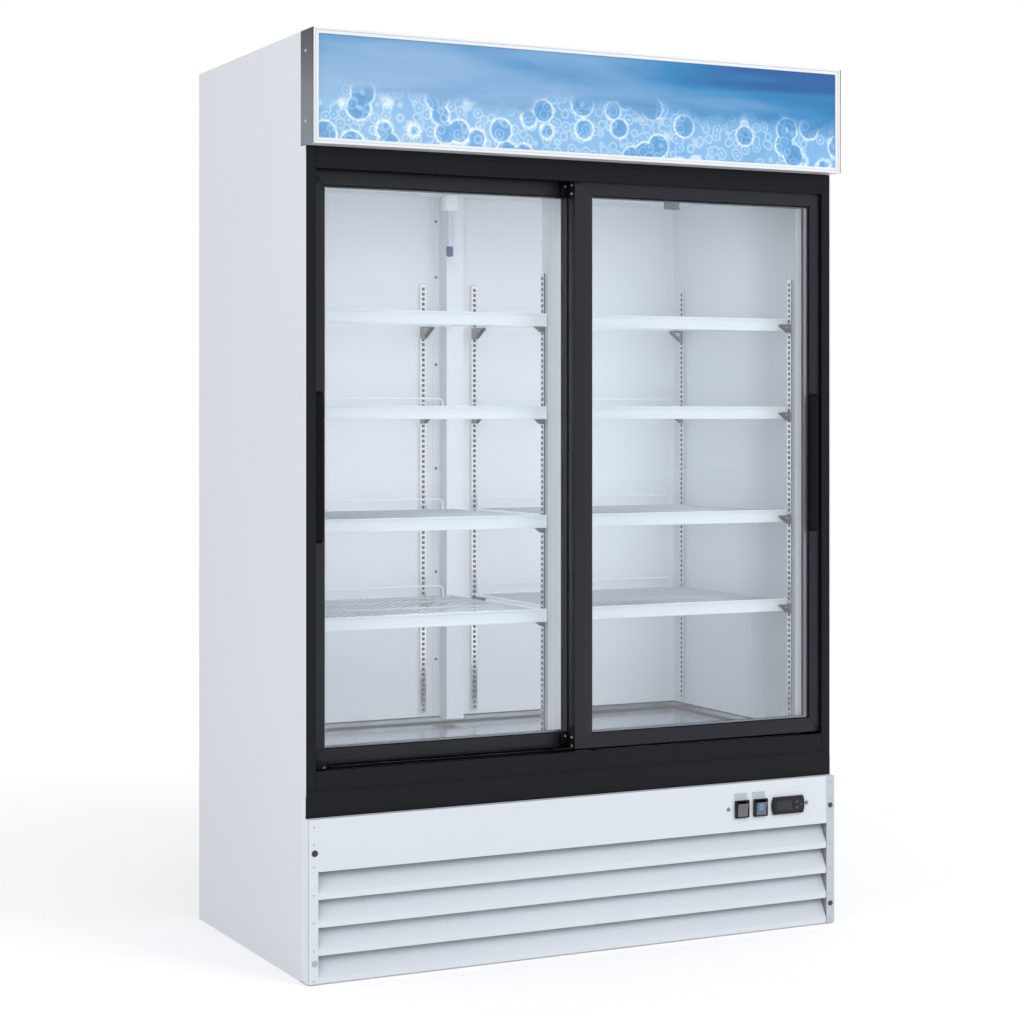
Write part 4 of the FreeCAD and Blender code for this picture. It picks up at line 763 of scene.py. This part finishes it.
tip_edges = [e for e in bm.edges if all(len(f.verts) > 3 for f in e.link_faces)
             and abs(e.verts[0].co.z - e.verts[1].co.z) < 1e-6]
rounded(bm, tip_edges, 0.006, 5)
tip = new_mesh("probe_tip", bm, probe_blue)
for piece in (holder, tube, tip):
    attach(piece, "cabinet")
    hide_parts("temperature_probe")


# Ceiling bracket: a small folded zinc angle screwed under the ceiling, near the right rear corner.
# Two screws hold its hanging face.
bracket_x, bracket_y, ceiling = (0.474, 0.519), (0.121, 0.160), holder_high[2]
bm = bmesh.new()
slab(bm, (bracket_x[0], bracket_y[0], ceiling - 0.0020),
     (bracket_x[1], bracket_y[1], ceiling - 0.0002), 0.0005, 1)
slab(bm, (bracket_x[0], bracket_y[0], ceiling - 0.025),
     (bracket_x[1], bracket_y[0] + 0.0018, ceiling - 0.0010), 0.0006, 1)
for x in (bracket_x[0] + 0.014, bracket_x[1] - 0.014):
    screw_head(bm, (x, bracket_y[0], ceiling - 0.014), (0, -1, 0), 0.0055)
ceiling_bracket = new_mesh("ceiling_bracket", bm, steel("bracket_zinc", (0.34, 0.35, 0.37), 0.36))
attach(ceiling_bracket, "cabinet")


# Sign: a lit box over the doors, with grey steel ends, a white aluminium frame and a printed panel.
# The ends are screwed to the side sheets; the frame snaps over the panel.
def ramp(start, share, stops):
    return start.node("ShaderNodeValToRGB", {"stops": stops}, {"Fac": share})


# The grey ends are painted darker towards their tops: painted shade.
bracket_grey, start = finish("bracket_grey")
spot = on_object(start)
height = start.node("ShaderNodeSeparateXYZ", inputs={"Vector": spot}, output="Z")
drift = noise(start, spot, 14.0, 3.0)
tint = ramp(start, (height - 1.80) / 0.25 + drift * 0.1, [
    (0.0, (0.185, 0.210, 0.245, 1.0)), (0.5, (0.140, 0.157, 0.184, 1.0)),
    (0.95, (0.030, 0.032, 0.037, 1.0))])
paint(start, {"Base Color": tint, "Roughness": drift * 0.1 + 0.36, "Specular IOR Level": 0.3})
wear("sign_brackets", bracket_grey)
bracket_low, bracket_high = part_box("sign_brackets")
bm = bmesh.new()
for side in (-1, 1):
    for z in (bracket_low[2] + 0.050, bracket_high[2] - 0.045):
        screw_head(bm, (side * bracket_high[0], bracket_low[1] + 0.040, z), (side, 0, 0), 0.0036)
bracket_screws = new_mesh("sign_screws", bm, plated)
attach(bracket_screws, "cabinet")

sign_white = enamel("sign_white", (0.83, 0.85, 0.875), 0.3)
wear("sign_tray", sign_white)
sign_low, sign_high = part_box("sign_frame")
rim_width, groove = 0.012, 0.0022
x, z = (sign_low[0], sign_high[0]), (sign_low[2], sign_high[2])
bm = bmesh.new()
for outer, inner, sunk in ((0.0, 0.0045, 0.0), (0.0045, 0.0062, groove), (0.0062, rim_width, 0.0006)):
    mitred_ring(bm, shrunk(x, outer), shrunk(z, outer), shrunk(x, inner), shrunk(z, inner),
                sign_low[1] + sunk, sign_high[1] - sign_low[1] - sunk, 0.0005)
sign_ring = new_mesh("sign_profile", bm, sign_white)
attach(sign_ring, "cabinet")
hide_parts("sign_frame")

print_art, start = finish("sign_print")
spot = on_object(start)
along = start.node("ShaderNodeSeparateXYZ", inputs={"Vector": spot}, output="X")
upward = start.node("ShaderNodeSeparateXYZ", inputs={"Vector": spot}, output="Z")
panel_low, panel_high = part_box("sign_panel")
rise = (upward - panel_low[2]) / (panel_high[2] - panel_low[2])
across = (along - panel_low[0]) / (panel_high[0] - panel_low[0])
slanted = start.node("ShaderNodeMapping", inputs={
    "Vector": spot, "Rotation": (0.0, math.radians(9.0), 0.0), "Scale": (1.1, 1.0, 7.0)})
rays = start.node("ShaderNodeTexNoise", inputs={
    "Vector": slanted, "Scale": 1.6, "Detail": 4.0, "Distortion": 0.4})
sky = ramp(start, across * 0.60 + rise * 0.20 - rays * 1.25 + 0.72, [
    (0.0, (0.33, 0.51, 0.73, 1.0)), (0.35, (0.17, 0.36, 0.61, 1.0)),
    (0.7, (0.022, 0.215, 0.475, 1.0)), (1.0, (0.006, 0.10, 0.32, 1.0))])
surf = start.node("ShaderNodeTexNoise", inputs={
    "Vector": spot, "Scale": 7.0, "Detail": 5.0, "Distortion": 0.8})
wide = start.node("ShaderNodeTexVoronoi", inputs={"Vector": spot, "Scale": 17.0, "Randomness": 0.95})
fine = start.node("ShaderNodeTexVoronoi", inputs={"Vector": spot, "Scale": 44.0, "Randomness": 1.0})
rim_wide = ramp(start, wide, [
    (0.0, (0.75, 0.75, 0.75, 1.0)), (0.16, (0.12, 0.12, 0.12, 1.0)), (0.42, (0.30, 0.30, 0.30, 1.0)),
    (0.47, (1.0, 1.0, 1.0, 1.0)), (0.56, (0.45, 0.45, 0.45, 1.0))])
rim_fine = ramp(start, fine, [
    (0.0, (1.0, 1.0, 1.0, 1.0)), (0.30, (0.25, 0.25, 0.25, 1.0)), (0.46, (0.9, 0.9, 0.9, 1.0)),
    (0.60, (0.3, 0.3, 0.3, 1.0))])
froth = ramp(start, rim_wide * 0.62 + rim_fine * 0.34 + surf * 0.3 - across * 0.12 - 0.06, [
    (0.0, (0.02, 0.14, 0.40, 1.0)), (0.35, (0.16, 0.40, 0.70, 1.0)), (0.65, (0.48, 0.68, 0.87, 1.0)),
    (1.0, (0.90, 0.95, 0.99, 1.0))])
shore = ramp(start, rise + surf * 0.55 - 0.18, [(0.46, (1.0, 1.0, 1.0, 1.0)), (0.60, (0.0, 0.0, 0.0, 1.0))])
art = mixed(start, shore, sky, froth)
paint(start, {"Base Color": art, "Roughness": 0.28, "Emission Color": art, "Emission Strength": 0.02})
wear("sign_panel", print_art)


# Machine grille: folded white steel with a plain band above and four louvre blades below.
# The flanges at its ends are riveted to the blades and screwed to the cabinet.
grille_paint = enamel("grille_paint", (0.765, 0.805, 0.86), 0.40)
# Blade faces that tilt upward are painted darker: painted shade under the band and each blade above. A
# faint mottle varies tone and gloss.
blade_painted_shade, start = finish("blade_painted_shade")
spot = on_object(start)
upward = start.node("ShaderNodeSeparateXYZ", inputs={
    "Vector": start.node("ShaderNodeTexCoord", output="Normal")}, output="Z")
mottle = noise(start, spot, 5.0, 4.0)
tint = mixed(start, upward * 2.4 + mottle * 0.2 - 0.1, (0.775, 0.815, 0.87, 1.0), (0.695, 0.74, 0.80, 1.0))
paint(start, {"Base Color": tint, "Roughness": mottle * 0.12 + 0.36})
low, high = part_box("front_grille")
face, back_edge = low[1], high[1]
half, flange, skin = high[0], 0.023, 0.0012
band_low, band_high, pitch = 0.241, 0.353, 0.0595
cheek_top = high[2]
inner = half - flange
switch_z = 0.293
windows = [(0.3935, 0.4265), (0.4445, 0.4775), (0.499, 0.577)]
edges_x = [-half] + [v for pair in windows for v in pair] + [inner - 0.0004]
window_z = (switch_z - 0.0185, switch_z + 0.0185)
bm = bmesh.new()
slab(bm, (edges_x[0], face, band_low), (edges_x[-1], face + skin, window_z[0]))
slab(bm, (edges_x[0], face, window_z[1]), (edges_x[-1], face + skin, band_high))
for i in range(0, len(edges_x), 2):
    slab(bm, (edges_x[i], face, window_z[0]), (edges_x[i + 1], face + skin, window_z[1]))
slab(bm, (-half, face, low[2]), (-inner, face + skin, band_low))
drawn(bm, [(-half, face + 0.0002, band_high - skin), (-half, frame_front + 0.020, band_high - skin),
           (-half, frame_front + 0.020, band_high), (-half, face + 0.0002, band_high)],
      (2 * half, 0.0, 0.0), 0.0005, 1)
band_sheet = new_mesh("grille_band", bm, grille_paint)
flange_paint = enamel("flange_paint", (0.56, 0.60, 0.65), 0.42)
bm = bmesh.new()
slab(bm, (inner + 0.0002, face + 0.0003, low[2]), (half, face + skin, band_high), 0.0004, 1)
right_flange = new_mesh("grille_right_flange", bm, flange_paint)
bm = bmesh.new()
for side in (-1, 1):
    cheek_x = sorted((side * half, side * (half - skin)))
    section = [(face, low[2]), (back_edge, low[2]), (back_edge, cheek_top), (frame_front, cheek_top),
               (frame_front, band_high), (face, band_high)]
    drawn(bm, [(cheek_x[0], a, b) for a, b in section], (skin, 0.0, 0.0), 0.0004, 1)
cheeks = new_mesh("grille_cheeks", bm, grille_paint)
lean, overlap, crease, lip = 0.026, 0.008, 0.046, 0.008
bm = bmesh.new()
for i in range(4):
    top = band_low - i * pitch
    foot = top - pitch
    section = [(face + lean, top + overlap), (face, top - crease), (face, foot), (face + lip, foot),
               (face + lip, foot + skin), (face + skin, foot + skin), (face + skin, top - crease + 0.0005),
               (face + lean + skin, top + overlap)]
    drawn(bm, [(-inner, a, b) for a, b in section], (2 * inner - 0.0012, 0.0, 0.0), 0.0004, 1)
blades = new_mesh("grille_blades", bm, blade_painted_shade)
# The returns at the blades' ends are painted dark grey: painted shade in the recess behind the blades.
return_painted_shade = enamel("return_painted_shade", (0.30, 0.31, 0.33), 0.55)
bm = bmesh.new()
for side in (-1, 1):
    return_x = sorted((side * inner, side * (inner + skin)))
    slab(bm, (return_x[0], face + 0.0004, low[2]), (return_x[1], face + 0.040, band_low))
returns = new_mesh("grille_returns", bm, return_painted_shade)
for piece in (band_sheet, right_flange, cheeks, blades, returns):
    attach(piece, "cabinet")
    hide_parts("front_grille")


# Grille fixings: rivets along both flanges, two dark screws, a hole plug and a screw cap.
# Two small grey screws hold the control plate behind the band.
def stud(bm, place, radius, rise):
    """A low round head on the grille's face."""
    middle = (place[0], face - rise / 2, place[1])
    turn = Matrix.Translation(middle) @ Matrix.Rotation(math.radians(90), 4, "X")
    verts = bmesh.ops.create_cone(bm, cap_ends=True, segments=20, radius1=radius, radius2=radius,
                                  depth=rise * 1.2, matrix=turn)["verts"]
    front = [e for e in {e for v in verts for e in v.link_edges}
             if all(v.co.y < face - rise / 2 for v in e.verts)]
    rounded(bm, front, rise * 0.6, 2)


plug_dark = black_coat("plug_dark", (0.055, 0.056, 0.060), 0.5)
cap_grey = enamel("cap_grey", (0.45, 0.50, 0.56), 0.4)
bm = bmesh.new()
for side in (-1, 1):
    for z in (0.337, 0.300, 0.252, 0.192, 0.133, 0.073, 0.010):
        stud(bm, (side * (inner + 0.010), z), 0.0020, 0.0010)
rivets = new_mesh("grille_rivets", bm, cap_grey)
bm = bmesh.new()
stud(bm, (-0.657, 0.281), 0.0072, 0.0008)
plug = new_mesh("grille_plug", bm, plug_dark)
bm = bmesh.new()
stud(bm, (-0.657, 0.047), 0.0068, 0.0014)
cap = new_mesh("grille_cap", bm, cap_grey)
bm = bmesh.new()
for z in (0.283, 0.049):
    screw_head(bm, (0.660, face, z), (0, -1, 0), 0.0062)
flange_screws = new_mesh("flange_screws", bm, dark_screw)
bm = bmesh.new()
for x in (0.375, 0.592):
    screw_head(bm, (x, face, 0.294), (0, -1, 0), 0.0048)
plate_screws = new_mesh("control_screws", bm, steel("control_screw", (0.26, 0.27, 0.28), 0.28))
for piece in (rivets, plug, cap, flange_screws, plate_screws):
    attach(piece, "cabinet")


# Rocker switches: black moulded bezels snapped into the band, each with a tilting key.
# Both keys are grey; the second holds a blue lens, lit by its own lamp.
control_black = black_coat("control_black", (0.016, 0.016, 0.018), 0.34)
bezel_face, throat_wall, throat_depth = face - 0.0075, 0.0012, 0.013
bm = bmesh.new()
for middle in (0.410, 0.461):
    outer_x, outer_z = (middle - 0.0185, middle + 0.0185), (switch_z - 0.0205, switch_z + 0.0205)
    well_x, well_z = shrunk(outer_x, 0.0028), shrunk(outer_z, 0.0024)
    mitred_ring(bm, outer_x, outer_z, well_x, well_z, bezel_face, face - bezel_face - hair, 0.0010)
    throat_x, throat_z = shrunk(outer_x, 0.0034), shrunk(outer_z, 0.0030)
    mitred_ring(bm, throat_x, throat_z, shrunk(throat_x, throat_wall), shrunk(throat_z, throat_wall),
                face, throat_depth, 0.0)
    slab(bm, (throat_x[0], face + throat_depth, throat_z[0]),
         (throat_x[1], face + 2 * throat_depth, throat_z[1]), 0.001)
housings = new_mesh("switch_bezels", bm, control_black)
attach(housings, "cabinet")
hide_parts("switch_housings")

label_grey = enamel("label_grey", (0.50, 0.53, 0.57), 0.35, metallic=0.3)
bm = bmesh.new()
for middle in (0.408, 0.457):
    slab(bm, (middle - 0.0175, face - 0.0006, 0.3165), (middle + 0.0175, face + 0.0002, 0.3300), 0.0002, 1)
labels = new_mesh("switch_labels", bm, label_grey)
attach(labels, "cabinet")

rocker_grey = enamel("rocker_grey", (0.135, 0.14, 0.15), 0.3, cloud=0.1)
rocker_blue, start = finish("rocker_blue")
spot = on_object(start)
glow = noise(start, spot, 90.0, 2.0)
tint = mixed(start, glow, (0.02, 0.10, 0.36, 1.0), (0.20, 0.33, 0.58, 1.0))
paint(start, {"Base Color": tint, "Roughness": 0.2, "Emission Color": tint, "Emission Strength": 0.15})
tilt = Matrix.Rotation(math.radians(8.0), 3, "X")
for name, middle, slot in (("light_switch_rocker", 0.410, "rocker_grey"),
                           ("cooling_switch_rocker", 0.461, "rocker_blue")):
    axle = Vector((middle, face + 0.003, switch_z))
    section = [(-0.0138, 0.0155), (-0.0120, 0.006), (-0.0114, 0.0), (-0.0120, -0.006), (-0.0138, -0.0155),
               (0.002, -0.0110), (0.004, 0.0), (0.002, 0.0110)]
    bm = bmesh.new()
    drawn(bm, [(-0.0135, a, b) for a, b in section], (0.027, 0.0, 0.0), 0.0006, 2)
    key = new_mesh(f"{name}_key", bm, rocker_grey)
    pieces = [key]
    if slot == "rocker_blue":
        bm = bmesh.new()
        slab(bm, (-0.0100, -0.0140, -0.0050), (0.0055, -0.0100, 0.0125), 0.0010, 2)
        pieces.append(new_mesh(f"{name}_lens", bm, rocker_blue))
    for piece in pieces:
        piece.data.transform(Matrix.Translation(axle) @ tilt.to_4x4())
        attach(piece, f"{name}_body")
    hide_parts(name)


# Controller: a black moulded thermostat face with bowed ends and a dark display window.
# Two flat keys and one round key stand a little out of the face.
low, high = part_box("controller")
middle, front = (low[0] + high[0]) / 2, low[1]
bm = bmesh.new()
half_height, bow = (high[2] - low[2]) / 2, 0.0045
shares = [i / 6 - 1.0 for i in range(13)]
outline = [(low[0] + bow * t * t, switch_z + half_height * t) for t in shares]
outline += [(high[0] - bow * t * t, switch_z + half_height * t) for t in reversed(shares)]
drawn(bm, [(a, front, b) for a, b in outline], (0.0, face - front - hair, 0.0))
rims = [e for e in bm.edges
        if e.calc_face_angle(0.0) > 1.0 and all(v.co.y < front + hair for v in e.verts)]
rounded(bm, rims, 0.0018, 3)
slab(bm, (middle - 0.0355, face, switch_z - 0.0155), (middle + 0.0355, high[1], switch_z + 0.0155), 0.001)
case = new_mesh("controller_case", bm, control_black)
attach(case, "cabinet")
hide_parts("controller")
window_smoke = black_coat("window_smoke", (0.040, 0.041, 0.043), 0.22)
bm = bmesh.new()
slab(bm, (low[0] + 0.011, front - 0.0004, switch_z - 0.0115),
     (low[0] + 0.054, front + 0.0005, switch_z + 0.0115), 0.0006)
window = new_mesh("controller_window", bm, window_smoke)
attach(window, "cabinet")
key_grey = black_coat("key_grey", (0.075, 0.077, 0.08), 0.3)
for number in (1, 2, 3):
    key_low, key_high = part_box(f"controller_key_{number}")
    bm = bmesh.new()
    if number < 3:
        slab(bm, key_low, key_high, 0.0006, 2)
    else:
        key_x, key_z = (key_low[0] + key_high[0]) / 2, (key_low[2] + key_high[2]) / 2
        wire_run(bm, (key_x, key_low[1], key_z), (key_x, key_high[1], key_z), 0.003, 24)
        rim = [e for e in bm.edges if e.calc_face_angle(0.0) > 1.0]
        rounded(bm, rim, 0.0004, 2)
    key = new_mesh(f"thermostat_key_{number}", bm, key_grey)
    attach(key, f"controller_key_{number}_body")
    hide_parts(f"controller_key_{number}")


# Cooling machine: compressor, coils, fans and trays behind the grille and above the shelves.
# They show only through slots, in plain shop finishes.
machine_black = black_coat("machine_black", (0.018, 0.018, 0.019), 0.5)
fan_plastic = black_coat("fan_plastic", (0.05, 0.05, 0.055), 0.55)
motor_paint = enamel("motor_paint", (0.28, 0.29, 0.30), 0.45)
coil_metal = zinc("coil_metal", (0.74, 0.75, 0.76))
for name, material in (
        ("compressor", machine_black), ("condensate_tray", fan_plastic), ("cord_gland", machine_black),
        ("condenser_fan", fan_plastic), ("evaporator_fan", fan_plastic), ("fan_motors", motor_paint),
        ("condenser", coil_metal), ("evaporator_coil", coil_metal)):
    wear(name, material)


bpy.context.view_layer.update()
